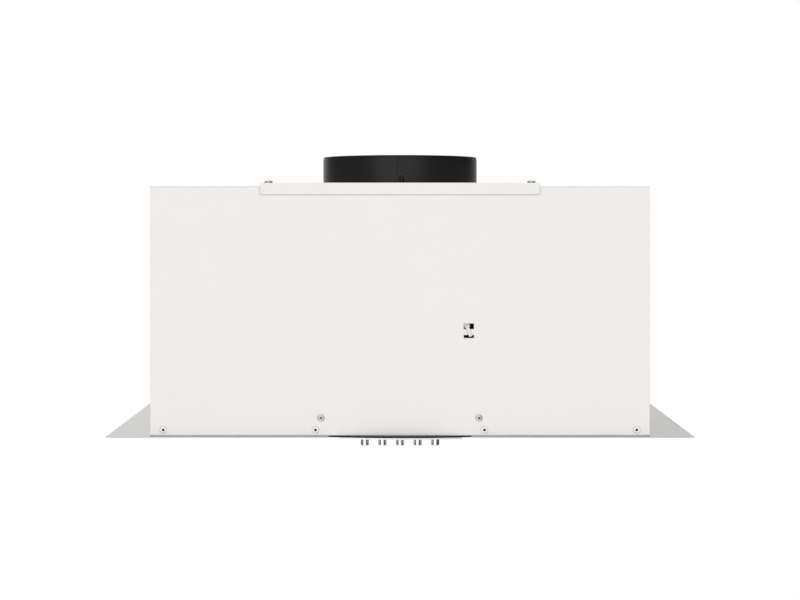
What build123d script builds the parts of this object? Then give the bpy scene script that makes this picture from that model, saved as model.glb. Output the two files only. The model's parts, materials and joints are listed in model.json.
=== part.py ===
from build123d import *
import os
from math import cos, radians, sin

# Built-in range hood that hangs through a cut-out in the floor of a kitchen wall cabinet.
# Millimetres. +Z is up, +X is to the right as seen from the room, and the front faces -Y.
# The origin is the middle of the box in the plane of the flange's top face, which is the
# plane of the cabinet's underside.

os.makedirs("parts", exist_ok=True)

SIDES = {"left": -1, "right": 1}

# ---------------------------------------------------------------- driving dimensions

# Sheet-metal box
BOX_WIDTH = 450.0
BOX_DEPTH = 260.0
BOX_HEIGHT = 225.0
SHEET = 1.0
RETURN_WIDTH = 14.0  # edges folded back behind the front and rear sheets
BEND_RADIUS = 0.8
CORNER_RELIEF = 2.0  # gap between neighbouring folded edges
WALL_BOTTOM = 0.4  # open seam between the box's sheets and the flange
CABINET_SCREW_SPACING = 180.0
CABINET_SCREW_HEIGHT = 60.0
CABINET_HOLE_RADIUS = 2.6

# Fits
FASTENER_GAP = 0.1  # round a screw or rivet in its hole
SLIP_GAP = 0.3  # between bodies that move past each other
BEARING_GAP = 0.05

# Flange frame under the box
FLANGE_WIDTH = 528.0
FLANGE_SHEET = 1.0
FLANGE_FRONT_OVERHANG = 5.0
FLANGE_REAR_OVERHANG = 25.0
UPSTAND_HEIGHT = 12.0
FRONT_STRIP_DEPTH = 66.0  # from the box front to the filter openings
REAR_STRIP_DEPTH = 12.0  # from the filter openings to the box rear
SIDE_STRIP_WIDTH = 20.0  # from the box sides to the filter openings
CENTRE_BAR_WIDTH = 10.0  # between the filter openings

# Pop rivets round the bottom of the box
RIVET_HEIGHT = 5.5
RIVET_CORNER_INSET = 12.0
RIVET_NOTCH_INSET = 11.0
SIDE_RIVET_SPACING = 160.0
RIVET_HEAD_RADIUS = 3.25
RIVET_HEAD_HEIGHT = 1.2
RIVET_SHANK_RADIUS = 1.6
RIVET_BORE_RADIUS = 1.25
RIVET_TAIL = 2.5

# Windows in the front sheet for the cable tie
WINDOW_X = 62.0
WINDOW_WIDTH = 9.2
UPPER_WINDOW_HEIGHT = 5.0
LOWER_WINDOW_HEIGHT = 2.7
BRIDGE_HEIGHT = 5.3
BRIDGE_Z = 93.55

# Outlet cover plate, its gasket and screws
COVER_WIDTH = 252.0
COVER_SHEET = 1.0
COVER_LIP = 10.7
GASKET_THICKNESS = 2.0
TOP_BORDER = 18.0  # of the top sheet and the gasket, in front of and behind the opening
GASKET_BORDER = 14.0  # at the sides
COVER_SCREW_INSET = 7.0  # from the cover's side edges
PAN_HEAD_RADIUS = 3.75
PAN_HEAD_HEIGHT = 2.4
PAN_SHANK_RADIUS = 1.75
PAN_SCREW_LENGTH = 9.0

# Duct collar and damper
DUCT_RADIUS = 75.0
COLLAR_WALL = 2.5
COLLAR_STAND_OUT = 27.0
COLLAR_FLANGE_RADIUS = 96.0
COLLAR_FLANGE = 2.0
COLLAR_RIM_CHAMFER = 0.6
COLLAR_SCREW_CIRCLE = 88.0
COLLAR_SCREW_HEAD_RADIUS = 3.4
COLLAR_SCREW_HEAD_HEIGHT = 2.2
COLLAR_SHOULDER = 0.8  # larger than the duct's radius, in the cover plate's hole
PLATE_HOLE_GAP = 0.3
DAMPER_PIN_DROP = 15.0  # below the rim
DAMPER_PIN_RADIUS = 1.2
KNUCKLE_RADIUS = 2.7
FLAP_THICKNESS = 1.2
FLAP_RIM_GAP = 1.0
DAMPER_STOP_WIDTH = 3.5
DAMPER_STOP_HEIGHT = 2.0
LUG_SLIT_WIDTH = 0.9
LUG_WIDTH = 2.9
LUG_LONG_SLIT = 10.5
LUG_SHORT_SLIT = 7.0
RIM_BEAD = 1.1  # height of the bead at the rim
RIM_GROOVE = 1.2
RIM_GROOVE_DEPTH = 0.6
GATE_WIDTH = 2.8  # flat where the moulding was cut from its runner
GATE_HEIGHT = 3.6
SEAM_X = -2.3
SEAM_WIDTH = 0.5
SEAM_DEPTH = 0.35

# Controls
NOTCH_WIDTH = 130.0
NOTCH_DEPTH = 38.0  # behind the box front
CONTROL_BOW = 8.0
CONTROL_BOX_OVERLAP = 14.0  # of the housing's box over the flange, on each side of the notch
CONTROL_BOX_HEIGHT = 24.0
CONTROL_WALL = 1.5
CONTROL_PLATE = 1.0
CONTROL_SCREW_NOTCH_INSET = 6.0
CONTROL_SCREW_Z = 16.2
CONTROL_SCREW_HEAD_RADIUS = 3.05
CONTROL_SCREW_HEAD_HEIGHT = 1.0
CONTROL_SCREW_RADIUS = 1.4
CONTROL_SCREW_LENGTH = 9.0
CONTROL_BOSS = 9.0
FASCIA_WIDTH = 112.0
FASCIA_THICKNESS = 1.5
FASCIA_INSET = 0.6
BUTTON_COUNT = 5
BUTTON_PITCH = 16.0
BUTTON_RADIUS = 3.75
BUTTON_SET_BACK = 16.0
BUTTON_DROP = 10.5  # from the flange's top face to the button's end
BUTTON_TRAVEL = 3.0
BUTTON_COLLAR_RADIUS = 5.2
BUTTON_COLLAR = 1.2
BUTTON_STEM_RADIUS = 2.0
BUTTON_STEM_TOP = 13.0
BUTTON_EDGE = 0.8
SWITCH_WIDTH = 92.0
SWITCH_DEPTH = 24.0
SWITCH_BOTTOM = 8.5
SWITCH_TOP = 22.0
SWITCH_LEG = 4.0

# Lamps
LAMP_X = 145.0
LAMP_SET_BACK = 34.0
LAMP_HOLE_RADIUS = 23.0
BEZEL_RADIUS = 27.0
BEZEL_DROP = 2.0
BEZEL_SLEEVE_HEIGHT = 6.0
BEZEL_WALL = 1.5
LENS_THICKNESS = 1.5
LAMP_CUP_HEIGHT = 20.0
LAMP_CAP_RADIUS = 14.0
LAMP_CAP_TOP = 36.0
LAMP_CUP_WALL = 1.0

# Grease filters
FILTER_GAP = 0.6
FILTER_THICKNESS = 9.0
FILTER_RIM = 10.0
PAD_THICKNESS = 5.0
PAD_TUCK = 4.0
PAD_GAP = 0.2
PAD_SHEET = 1.6
PAD_WAVES = 22
TAB_LENGTH = 6.5
TAB_WIDTH = 12.0
TAB_THICKNESS = 1.0
TAB_SPACING = 130.0
TAB_LIFT = 0.4
LATCH_BLOCK_WIDTH = 48.0
LATCH_BLOCK_DEPTH = 26.0
LATCH_WIDTH = 37.2
LATCH_DEPTH = 13.0
LATCH_THICKNESS = 4.0
LATCH_TRAVEL = 5.0
TONGUE_WIDTH = 16.0
TONGUE_THICKNESS = 1.8
TONGUE_REACH = 4.4
LATCH_POCKET_WALL = 2.5
THUMB_RADIUS = 5.0
GRIP_GROOVE = 0.8  # width and depth of the grooves on both ends of a latch
GRIP_PITCH = 2.0
GRIP_COUNT = 3

# Blower
SCROLL_START_RADIUS = 70.0
SCROLL_STEP = 8.0  # the scroll's radius grows by this each quarter turn
SCROLL_SHEET = 1.0
SCROLL_SIDE_SHEET = 1.0
SCROLL_SIDE_LIP = 2.0
SCROLL_INNER_WIDTH = 100.0
TONGUE_RADIUS = 5.0
BLOWER_AXIS_Z = 108.0
INLET_RADIUS = 50.0
INLET_FLARE = 6.0
OUTLET_FLANGE_MARGIN = 8.8  # outside the middles of the collar's screws
WHEEL_WIDTH = 90.0
WHEEL_RADIUS = 60.0
BLADE_COUNT = 32
BLADE_DEPTH = 11.0
BLADE_THICKNESS = 1.0
WHEEL_RING = 2.0
WHEEL_RING_PROUD = 1.0
WHEEL_DISC = 2.0
HUB_RADIUS = 11.0
HUB_LENGTH = 14.0
SHAFT_RADIUS = 4.0
SHAFT_FRONT = -9.0
SHAFT_REAR = 71.0

# Motor in the right-hand inlet
MOTOR_FRONT = 10.0
MOTOR_RADIUS = 36.0
MOTOR_CAN_WALL = 1.5
MOTOR_CAN_LENGTH = 48.0
COOLING_SLOT_COUNT = 6  # in each end of the motor
COOLING_SLOT_LENGTH = 11.0
COOLING_SLOT_WIDTH = 3.5
END_CAP_PLATE = 5.0
END_CAP_DOME = 4.0
END_CAP_DOME_RADIUS = 26.0
BEARING_RADIUS = 8.0
BEARING_LENGTH = 7.0
STATOR_LENGTH = 26.0
STATOR_BORE_RADIUS = 25.0
WINDING_LENGTH = 7.0
WINDING_WALL = 6.0
AIR_GAP = 0.5
BRACKET_SHEET = 3.0
BRACKET_RING_WALL = 7.0
BRACKET_ARM_WIDTH = 13.0
BRACKET_BOLT_CIRCLE = 64.0
BRACKET_ANGLES = (30, 150, 270)
BUSH_RADIUS = 5.0
BUSH_LENGTH = 8.0
BRACKET_SCREW_RADIUS = 1.9
BRACKET_SCREW_HEAD_RADIUS = 3.6
BRACKET_SCREW_HEAD_HEIGHT = 2.4

# Wiring
TERMINAL_DEPTH = 34.0
TERMINAL_LENGTH = 70.0
TERMINAL_HEIGHT = 50.0
TERMINAL_Y = -25.0
TERMINAL_Z = 175.0
TERMINAL_WALL = 2.0
TERMINAL_LID = 2.0
BLOCK_LENGTH = 44.0
BLOCK_HEIGHT = 20.0
BLOCK_DEPTH = 13.0
POLE_COUNT = 4
CAPACITOR_RADIUS = 15.0
CAPACITOR_LENGTH = 55.0
CAPACITOR_Y = 60.0
CAPACITOR_BOTTOM = 140.0
STRAP_WIDTH = 16.0
STRAP_THICKNESS = 1.2
STRAP_FOOT = 9.0
GROMMET_X = 190.0
GROMMET_Z = 190.0
GROMMET_BORE_RADIUS = 4.0
GROMMET_NECK_RADIUS = 7.0
GROMMET_LIP_RADIUS = 9.5
GROMMET_LIP = 2.0
GROMMET_NOSE = 3.0
LEAD_RADIUS = 2.5
LEAD_BEND = 25.0
LEAD_BOSS_RADIUS = 4.4
LEAD_BOSS_HEIGHT = 5.5
LEAD_START_X = 28.0
LEAD_START_INSET = 7.0  # behind the box front
LEAD_WALL_GAP = 0.3
LAMP_LEAD_RADIUS = 1.75
LAMP_LEAD_SIDE_STEP = 8.0  # towards the front, between lamp and controls
MOTOR_LEAD_RISE = 55.0  # straight up into the terminal box
TIE_WIDTH = 3.0
TIE_THICKNESS = 0.9
TIE_SLACK = 0.8
TIE_LEAN = 17.0
TIE_HEAD_WIDTH = 5.0
TIE_HEAD_DEPTH = 3.6
TIE_HEAD_HEIGHT = 4.2
TIE_HEAD_RECESS = 1.2  # depth of the mouth that the strap enters
TIE_TAIL = 6.0  # behind the head

# ---------------------------------------------------------------- places worked out from them

FRONT_Y = -BOX_DEPTH / 2
REAR_Y = BOX_DEPTH / 2
SIDE_X = BOX_WIDTH / 2
INNER_FRONT_Y = FRONT_Y + SHEET
INNER_SIDE_X = SIDE_X - 2 * SHEET  # inside the side sheets, which lie within the returns
WALL_TOP = BOX_HEIGHT - SHEET  # under the top sheet

FLANGE_FRONT_Y = FRONT_Y - FLANGE_FRONT_OVERHANG
FLANGE_REAR_Y = REAR_Y + FLANGE_REAR_OVERHANG
FILTER_OPENING_WIDTH = (BOX_WIDTH - CENTRE_BAR_WIDTH) / 2 - SIDE_STRIP_WIDTH
FILTER_OPENING_DEPTH = BOX_DEPTH - FRONT_STRIP_DEPTH - REAR_STRIP_DEPTH
FILTER_FRONT_Y = FRONT_Y + FRONT_STRIP_DEPTH
FILTER_OPENING_Y = FILTER_FRONT_Y + FILTER_OPENING_DEPTH / 2
FILTER_X = (CENTRE_BAR_WIDTH + FILTER_OPENING_WIDTH) / 2
NOTCH_REAR_Y = FRONT_Y + NOTCH_DEPTH
CONTROL_BOX_WIDTH = NOTCH_WIDTH + 2 * CONTROL_BOX_OVERLAP
CONTROL_SCREW_X = NOTCH_WIDTH / 2 + CONTROL_SCREW_NOTCH_INSET
LAMP_Y = FRONT_Y + LAMP_SET_BACK
LEAD_START_Y = FRONT_Y + LEAD_START_INSET

END_RIVET_XS = [
    side * x
    for side in (-1, 1)
    for x in (NOTCH_WIDTH / 2 + RIVET_NOTCH_INSET, SIDE_X - RIVET_CORNER_INSET)
]
SIDE_RIVET_YS = (-SIDE_RIVET_SPACING / 2, SIDE_RIVET_SPACING / 2)
RIVET_HOLE_RADIUS = RIVET_SHANK_RADIUS + FASTENER_GAP

GASKET_TOP = BOX_HEIGHT + GASKET_THICKNESS
COVER_TOP = GASKET_TOP + COVER_SHEET
COVER_DEPTH = BOX_DEPTH + 2 * COVER_SHEET
TOP_OPENING_WIDTH = COVER_WIDTH - 2 * GASKET_BORDER
TOP_OPENING_DEPTH = BOX_DEPTH - 2 * TOP_BORDER
COVER_SCREW_X = COVER_WIDTH / 2 - COVER_SCREW_INSET
COVER_SCREW_Y = BOX_DEPTH / 2 - TOP_BORDER / 2
COVER_SCREW_POINTS = [
    (x, y) for x in (-COVER_SCREW_X, COVER_SCREW_X) for y in (-COVER_SCREW_Y, COVER_SCREW_Y)
]
PAN_HOLE_RADIUS = PAN_SHANK_RADIUS + FASTENER_GAP

COLLAR_FLANGE_BOTTOM = GASKET_TOP - COLLAR_FLANGE
COLLAR_BORE_RADIUS = DUCT_RADIUS - COLLAR_WALL
COLLAR_SHOULDER_RADIUS = DUCT_RADIUS + COLLAR_SHOULDER
COLLAR_RIM = COVER_TOP + COLLAR_STAND_OUT
DAMPER_Z = COLLAR_RIM - DAMPER_PIN_DROP
DAMPER_PIN_SEAT = COLLAR_BORE_RADIUS + COLLAR_WALL / 2  # the blind holes' ends
DAMPER_STOP_TOP = DAMPER_Z - FLAP_THICKNESS / 2 - SLIP_GAP

CONTROL_FRONT_Y = INNER_FRONT_Y + FLANGE_SHEET  # against the upstand
CONTROL_REAR_Y = NOTCH_REAR_Y
CONTROL_SCREW_POINTS = [(-CONTROL_SCREW_X, CONTROL_SCREW_Z), (CONTROL_SCREW_X, CONTROL_SCREW_Z)]
CONTROL_HOLE_RADIUS = CONTROL_SCREW_RADIUS + FASTENER_GAP
BUTTON_Y = FRONT_Y + BUTTON_SET_BACK
BUTTON_XS = [BUTTON_PITCH * (i - (BUTTON_COUNT - 1) / 2) for i in range(BUTTON_COUNT)]
BUTTON_HOLE_RADIUS = BUTTON_RADIUS + SLIP_GAP
BUTTON_COLLAR_BOTTOM = CONTROL_WALL + SLIP_GAP
BUTTON_NAMES = ("off_button", "speed_1_button", "speed_2_button", "speed_3_button", "lamp_button")

# The scroll's inner face is drawn about the wheel's axis, with u along +Y and v along +Z. Its
# three arcs have their centres on a small square, as a sheet-metal worker lays a scroll out.
HALF_STEP = SCROLL_STEP / 2
SCROLL_RIGHT_U = HALF_STEP + SCROLL_START_RADIUS + 2 * SCROLL_STEP
SCROLL_TONGUE_U = -HALF_STEP + TONGUE_RADIUS
BLOWER_AXIS_Y = -(SCROLL_RIGHT_U + SCROLL_TONGUE_U) / 2  # centres the outlet under the collar
OUTLET_TOP = COLLAR_FLANGE_BOTTOM
OUTLET_TOP_V = OUTLET_TOP - BLOWER_AXIS_Z
SCROLL_HALF = SCROLL_INNER_WIDTH / 2
BLOWER_PLANE = Plane(origin=(0, BLOWER_AXIS_Y, BLOWER_AXIS_Z), x_dir=(0, 1, 0), z_dir=(1, 0, 0))
AXIAL_PLANE = Plane(origin=(0, BLOWER_AXIS_Y, BLOWER_AXIS_Z), x_dir=(1, 0, 0), z_dir=(0, 0, 1))
BLOWER_AXIS = Axis((0, BLOWER_AXIS_Y, BLOWER_AXIS_Z), (1, 0, 0))
BLADE_ROOT_RADIUS = WHEEL_RADIUS - BLADE_DEPTH

CAN_REAR = MOTOR_FRONT + MOTOR_CAN_LENGTH
END_CAP_REAR = CAN_REAR + END_CAP_PLATE + END_CAP_DOME
SIDE_OUTER = SCROLL_HALF + SCROLL_SIDE_SHEET
BRACKET_FRONT = SIDE_OUTER + BUSH_LENGTH
STATOR_FRONT = MOTOR_FRONT + (MOTOR_CAN_LENGTH - STATOR_LENGTH) / 2
CAN_BORE_RADIUS = MOTOR_RADIUS - MOTOR_CAN_WALL

LEAD_END_X = INNER_SIDE_X - TERMINAL_DEPTH / 2
LEAD_WALL_Y = INNER_FRONT_Y + LEAD_WALL_GAP + LEAD_RADIUS


def bolt_points(radius, angles):
    """Points on a circle, for screws and their holes."""
    return [(radius * cos(radians(a)), radius * sin(radians(a))) for a in angles]


COLLAR_SCREW_POINTS = bolt_points(COLLAR_SCREW_CIRCLE, (45, 135, 225, 315))
OUTLET_FLANGE_SIZE = 2 * (COLLAR_SCREW_POINTS[0][0] + OUTLET_FLANGE_MARGIN)
BRACKET_POINTS = bolt_points(BRACKET_BOLT_CIRCLE, BRACKET_ANGLES)


# ---------------------------------------------------------------- body panels


def end_sheet(outward):
    """Front (-1) or rear (+1) sheet: folded back along both sides and along the top."""
    face_y = outward * BOX_DEPTH / 2
    top_return_width = BOX_WIDTH - 2 * (2 * SHEET + CORNER_RELIEF)
    with BuildPart() as sheet:
        with BuildSketch(Plane.XY.offset(WALL_BOTTOM)):
            with Locations((0, face_y - outward * RETURN_WIDTH / 2)):
                Rectangle(BOX_WIDTH, RETURN_WIDTH)
            with Locations((0, face_y - outward * (SHEET + RETURN_WIDTH / 2))):
                Rectangle(BOX_WIDTH - 2 * SHEET, RETURN_WIDTH, mode=Mode.SUBTRACT)
        extrude(amount=WALL_TOP - WALL_BOTTOM)
        with BuildSketch(Plane.XY.offset(WALL_TOP - SHEET)):
            with Locations((0, face_y - outward * RETURN_WIDTH / 2)):
                Rectangle(top_return_width, RETURN_WIDTH)
            with Locations(*COVER_SCREW_POINTS):
                Circle(PAN_HOLE_RADIUS, mode=Mode.SUBTRACT)
        extrude(amount=SHEET)
        corner_edges = sheet.edges().filter_by(Axis.Z).filter_by_position(
            Axis.Y, face_y - SHEET / 4, face_y + SHEET / 4
        )
        fillet(corner_edges, radius=BEND_RADIUS)
        with BuildSketch(Plane.XZ.offset(-face_y)):
            with Locations(*[(x, RIVET_HEIGHT) for x in END_RIVET_XS]):
                Circle(RIVET_HOLE_RADIUS)
        extrude(amount=SHEET, both=True, mode=Mode.SUBTRACT)
    return sheet.part


with BuildPart() as front_panel:
    add(end_sheet(-1))
    with BuildSketch(Plane.XZ.offset(-FRONT_Y)):
        with Locations(*CONTROL_SCREW_POINTS):
            Circle(CONTROL_HOLE_RADIUS)
        with Locations((WINDOW_X, BRIDGE_Z + (BRIDGE_HEIGHT + UPPER_WINDOW_HEIGHT) / 2)):
            Rectangle(WINDOW_WIDTH, UPPER_WINDOW_HEIGHT)
        with Locations((WINDOW_X, BRIDGE_Z - (BRIDGE_HEIGHT + LOWER_WINDOW_HEIGHT) / 2)):
            Rectangle(WINDOW_WIDTH, LOWER_WINDOW_HEIGHT)
    extrude(amount=SHEET, both=True, mode=Mode.SUBTRACT)
front_panel.part.label = "front_panel"
export_step(front_panel.part, "parts/front_panel.step")

with BuildPart() as rear_panel:
    add(end_sheet(1))
    with BuildSketch(Plane.XZ.offset(-REAR_Y)):
        with Locations((GROMMET_X, GROMMET_Z)):
            Circle(GROMMET_NECK_RADIUS)
    extrude(amount=SHEET, both=True, mode=Mode.SUBTRACT)
rear_panel.part.label = "rear_panel"
export_step(rear_panel.part, "parts/rear_panel.step")

for side_name, side in SIDES.items():
    with BuildPart() as side_panel:
        with BuildSketch(Plane.XY.offset(WALL_BOTTOM)):
            with Locations((side * (INNER_SIDE_X + SHEET / 2), 0)):
                Rectangle(SHEET, BOX_DEPTH - 2 * SHEET)
        extrude(amount=WALL_TOP - WALL_BOTTOM)
        with BuildSketch(Plane.XY.offset(WALL_TOP - SHEET)):
            with Locations((side * (INNER_SIDE_X + SHEET - RETURN_WIDTH / 2), 0)):
                Rectangle(RETURN_WIDTH, BOX_DEPTH - 2 * (RETURN_WIDTH + CORNER_RELIEF))
        extrude(amount=SHEET)
        with BuildSketch(Plane.YZ.offset(side * INNER_SIDE_X)):
            with Locations(*[(y, RIVET_HEIGHT) for y in SIDE_RIVET_YS]):
                Circle(RIVET_HOLE_RADIUS)
            with GridLocations(CABINET_SCREW_SPACING, 0, 2, 1):
                with Locations((0, CABINET_SCREW_HEIGHT)):
                    Circle(CABINET_HOLE_RADIUS)
        extrude(amount=2 * SHEET, both=True, mode=Mode.SUBTRACT)
    side_panel.part.label = f"{side_name}_side_panel"
    export_step(side_panel.part, f"parts/{side_name}_side_panel.step")

with BuildPart() as top_panel:
    with BuildSketch(Plane.XY.offset(WALL_TOP)):
        Rectangle(BOX_WIDTH, BOX_DEPTH)
        Rectangle(TOP_OPENING_WIDTH, TOP_OPENING_DEPTH, mode=Mode.SUBTRACT)
        with Locations(*COVER_SCREW_POINTS):
            Circle(PAN_HOLE_RADIUS, mode=Mode.SUBTRACT)
    extrude(amount=SHEET)
    fillet(top_panel.edges().filter_by(Axis.Z).group_by(SortBy.DISTANCE)[-1], radius=BEND_RADIUS)
top_panel.part.label = "top_panel"
export_step(top_panel.part, "parts/top_panel.step")

# ---------------------------------------------------------------- flange frame and rivets

with BuildPart() as flange_frame:
    with BuildSketch(Plane.XY.offset(-FLANGE_SHEET)):
        with Locations((0, (FLANGE_FRONT_Y + FLANGE_REAR_Y) / 2)):
            Rectangle(FLANGE_WIDTH, FLANGE_REAR_Y - FLANGE_FRONT_Y)
        with Locations((-FILTER_X, FILTER_OPENING_Y), (FILTER_X, FILTER_OPENING_Y)):
            Rectangle(FILTER_OPENING_WIDTH, FILTER_OPENING_DEPTH, mode=Mode.SUBTRACT)
        with Locations((-LAMP_X, LAMP_Y), (LAMP_X, LAMP_Y)):
            Circle(LAMP_HOLE_RADIUS, mode=Mode.SUBTRACT)
        with Locations((0, (FLANGE_FRONT_Y + NOTCH_REAR_Y) / 2)):
            Rectangle(NOTCH_WIDTH, NOTCH_REAR_Y - FLANGE_FRONT_Y, mode=Mode.SUBTRACT)
    extrude(amount=FLANGE_SHEET)
    with BuildSketch():
        Rectangle(2 * INNER_SIDE_X, BOX_DEPTH - 2 * SHEET)
        Rectangle(
            2 * (INNER_SIDE_X - FLANGE_SHEET),
            BOX_DEPTH - 2 * (SHEET + FLANGE_SHEET),
            mode=Mode.SUBTRACT,
        )
        with Locations((0, INNER_FRONT_Y)):
            Rectangle(NOTCH_WIDTH, 4 * FLANGE_SHEET, mode=Mode.SUBTRACT)
        with GridLocations(2 * INNER_SIDE_X, BOX_DEPTH - 2 * SHEET, 2, 2):
            Rectangle(2 * CORNER_RELIEF, 2 * CORNER_RELIEF, mode=Mode.SUBTRACT)
    extrude(amount=UPSTAND_HEIGHT)
    with BuildSketch(Plane.XZ):
        with Locations(*[(x, RIVET_HEIGHT) for x in END_RIVET_XS]):
            Circle(RIVET_HOLE_RADIUS)
    extrude(amount=BOX_DEPTH / 2, both=True, mode=Mode.SUBTRACT)
    with BuildSketch(Plane.YZ):
        with Locations(*[(y, RIVET_HEIGHT) for y in SIDE_RIVET_YS]):
            Circle(RIVET_HOLE_RADIUS)
    extrude(amount=BOX_WIDTH / 2, both=True, mode=Mode.SUBTRACT)
flange_frame.part.label = "flange_frame"
export_step(flange_frame.part, "parts/flange_frame.step")


def pop_rivet():
    """Dome-headed blind rivet along Z, with its head's underside at z = 0 and its head up."""
    with BuildPart() as rivet:
        with BuildSketch(Plane.XZ):
            with BuildLine():
                Polyline(
                    (RIVET_BORE_RADIUS, RIVET_HEAD_HEIGHT),
                    (RIVET_BORE_RADIUS, -RIVET_TAIL),
                    (RIVET_SHANK_RADIUS, -RIVET_TAIL),
                    (RIVET_SHANK_RADIUS, 0),
                    (RIVET_HEAD_RADIUS, 0),
                    (RIVET_HEAD_RADIUS, RIVET_HEAD_HEIGHT / 4),
                )
                ThreePointArc(
                    (RIVET_HEAD_RADIUS, RIVET_HEAD_HEIGHT / 4),
                    (RIVET_HEAD_RADIUS * 0.78, RIVET_HEAD_HEIGHT * 0.75),
                    (RIVET_BORE_RADIUS, RIVET_HEAD_HEIGHT),
                )
            make_face()
        revolve(axis=Axis.Z)
    return rivet.part


with BuildPart() as body_rivets:
    blind_rivet = pop_rivet()
    with Locations(*[Location((x, FRONT_Y, RIVET_HEIGHT), (90, 0, 0)) for x in END_RIVET_XS]):
        add(blind_rivet)
    with Locations(*[Location((x, REAR_Y, RIVET_HEIGHT), (-90, 0, 0)) for x in END_RIVET_XS]):
        add(blind_rivet)
    rivet_x = INNER_SIDE_X + SHEET
    with Locations(*[Location((rivet_x, y, RIVET_HEIGHT), (0, 90, 0)) for y in SIDE_RIVET_YS]):
        add(blind_rivet)
    with Locations(*[Location((-rivet_x, y, RIVET_HEIGHT), (0, -90, 0)) for y in SIDE_RIVET_YS]):
        add(blind_rivet)
body_rivets.part.label = "body_rivets"
export_step(body_rivets.part, "parts/body_rivets.step")

# ---------------------------------------------------------------- outlet cover and collar

with BuildPart() as outlet_cover_plate:
    with BuildSketch(Plane.XY.offset(GASKET_TOP)):
        Rectangle(COVER_WIDTH, COVER_DEPTH)
        Circle(COLLAR_SHOULDER_RADIUS + PLATE_HOLE_GAP, mode=Mode.SUBTRACT)
        with Locations(*COVER_SCREW_POINTS, *COLLAR_SCREW_POINTS):
            Circle(PAN_HOLE_RADIUS, mode=Mode.SUBTRACT)
    extrude(amount=COVER_SHEET)
    with BuildSketch(Plane.XY.offset(COVER_TOP)):
        with GridLocations(0, BOX_DEPTH + COVER_SHEET, 1, 2):
            Rectangle(COVER_WIDTH, COVER_SHEET)
    extrude(amount=-COVER_LIP)
    bend_edges = outlet_cover_plate.edges().filter_by(Axis.X).group_by(Axis.Z)[-1]
    fillet(bend_edges, radius=BEND_RADIUS)
outlet_cover_plate.part.label = "outlet_cover_plate"
export_step(outlet_cover_plate.part, "parts/outlet_cover_plate.step")

with BuildPart() as cover_gasket:
    with BuildSketch(Plane.XY.offset(BOX_HEIGHT)):
        Rectangle(COVER_WIDTH, BOX_DEPTH)
        Rectangle(TOP_OPENING_WIDTH, TOP_OPENING_DEPTH, mode=Mode.SUBTRACT)
        with Locations(*COVER_SCREW_POINTS):
            Circle(PAN_HOLE_RADIUS, mode=Mode.SUBTRACT)
    extrude(amount=GASKET_THICKNESS)
cover_gasket.part.label = "cover_gasket"
export_step(cover_gasket.part, "parts/cover_gasket.step")


def pan_screw(head_radius, head_height, shank_radius, shank_length):
    """Dome-headed screw along Z, with its head's underside at z = 0 and its head up."""
    with BuildPart() as screw:
        Cylinder(head_radius, head_height, align=(Align.CENTER, Align.CENTER, Align.MIN))
        fillet(screw.edges().group_by(Axis.Z)[-1], radius=head_height * 0.6)
        Cylinder(shank_radius, shank_length, align=(Align.CENTER, Align.CENTER, Align.MAX))
    return screw.part


with BuildPart() as cover_screws:
    cover_screw = pan_screw(PAN_HEAD_RADIUS, PAN_HEAD_HEIGHT, PAN_SHANK_RADIUS, PAN_SCREW_LENGTH)
    with Locations(*[(x, y, COVER_TOP) for x, y in COVER_SCREW_POINTS]):
        add(cover_screw)
cover_screws.part.label = "cover_screws"
export_step(cover_screws.part, "parts/cover_screws.step")

# These come up from inside the box, through the scroll's flange, and end flush with the cover
with BuildPart() as collar_screws:
    collar_screw_head_z = OUTLET_TOP - SCROLL_SHEET
    collar_screw = pan_screw(
        COLLAR_SCREW_HEAD_RADIUS,
        COLLAR_SCREW_HEAD_HEIGHT,
        PAN_SHANK_RADIUS,
        COVER_TOP - collar_screw_head_z,
    )
    with Locations(
        *[Location((x, y, collar_screw_head_z), (180, 0, 0)) for x, y in COLLAR_SCREW_POINTS]
    ):
        add(collar_screw)
collar_screws.part.label = "collar_screws"
export_step(collar_screws.part, "parts/collar_screws.step")

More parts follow.
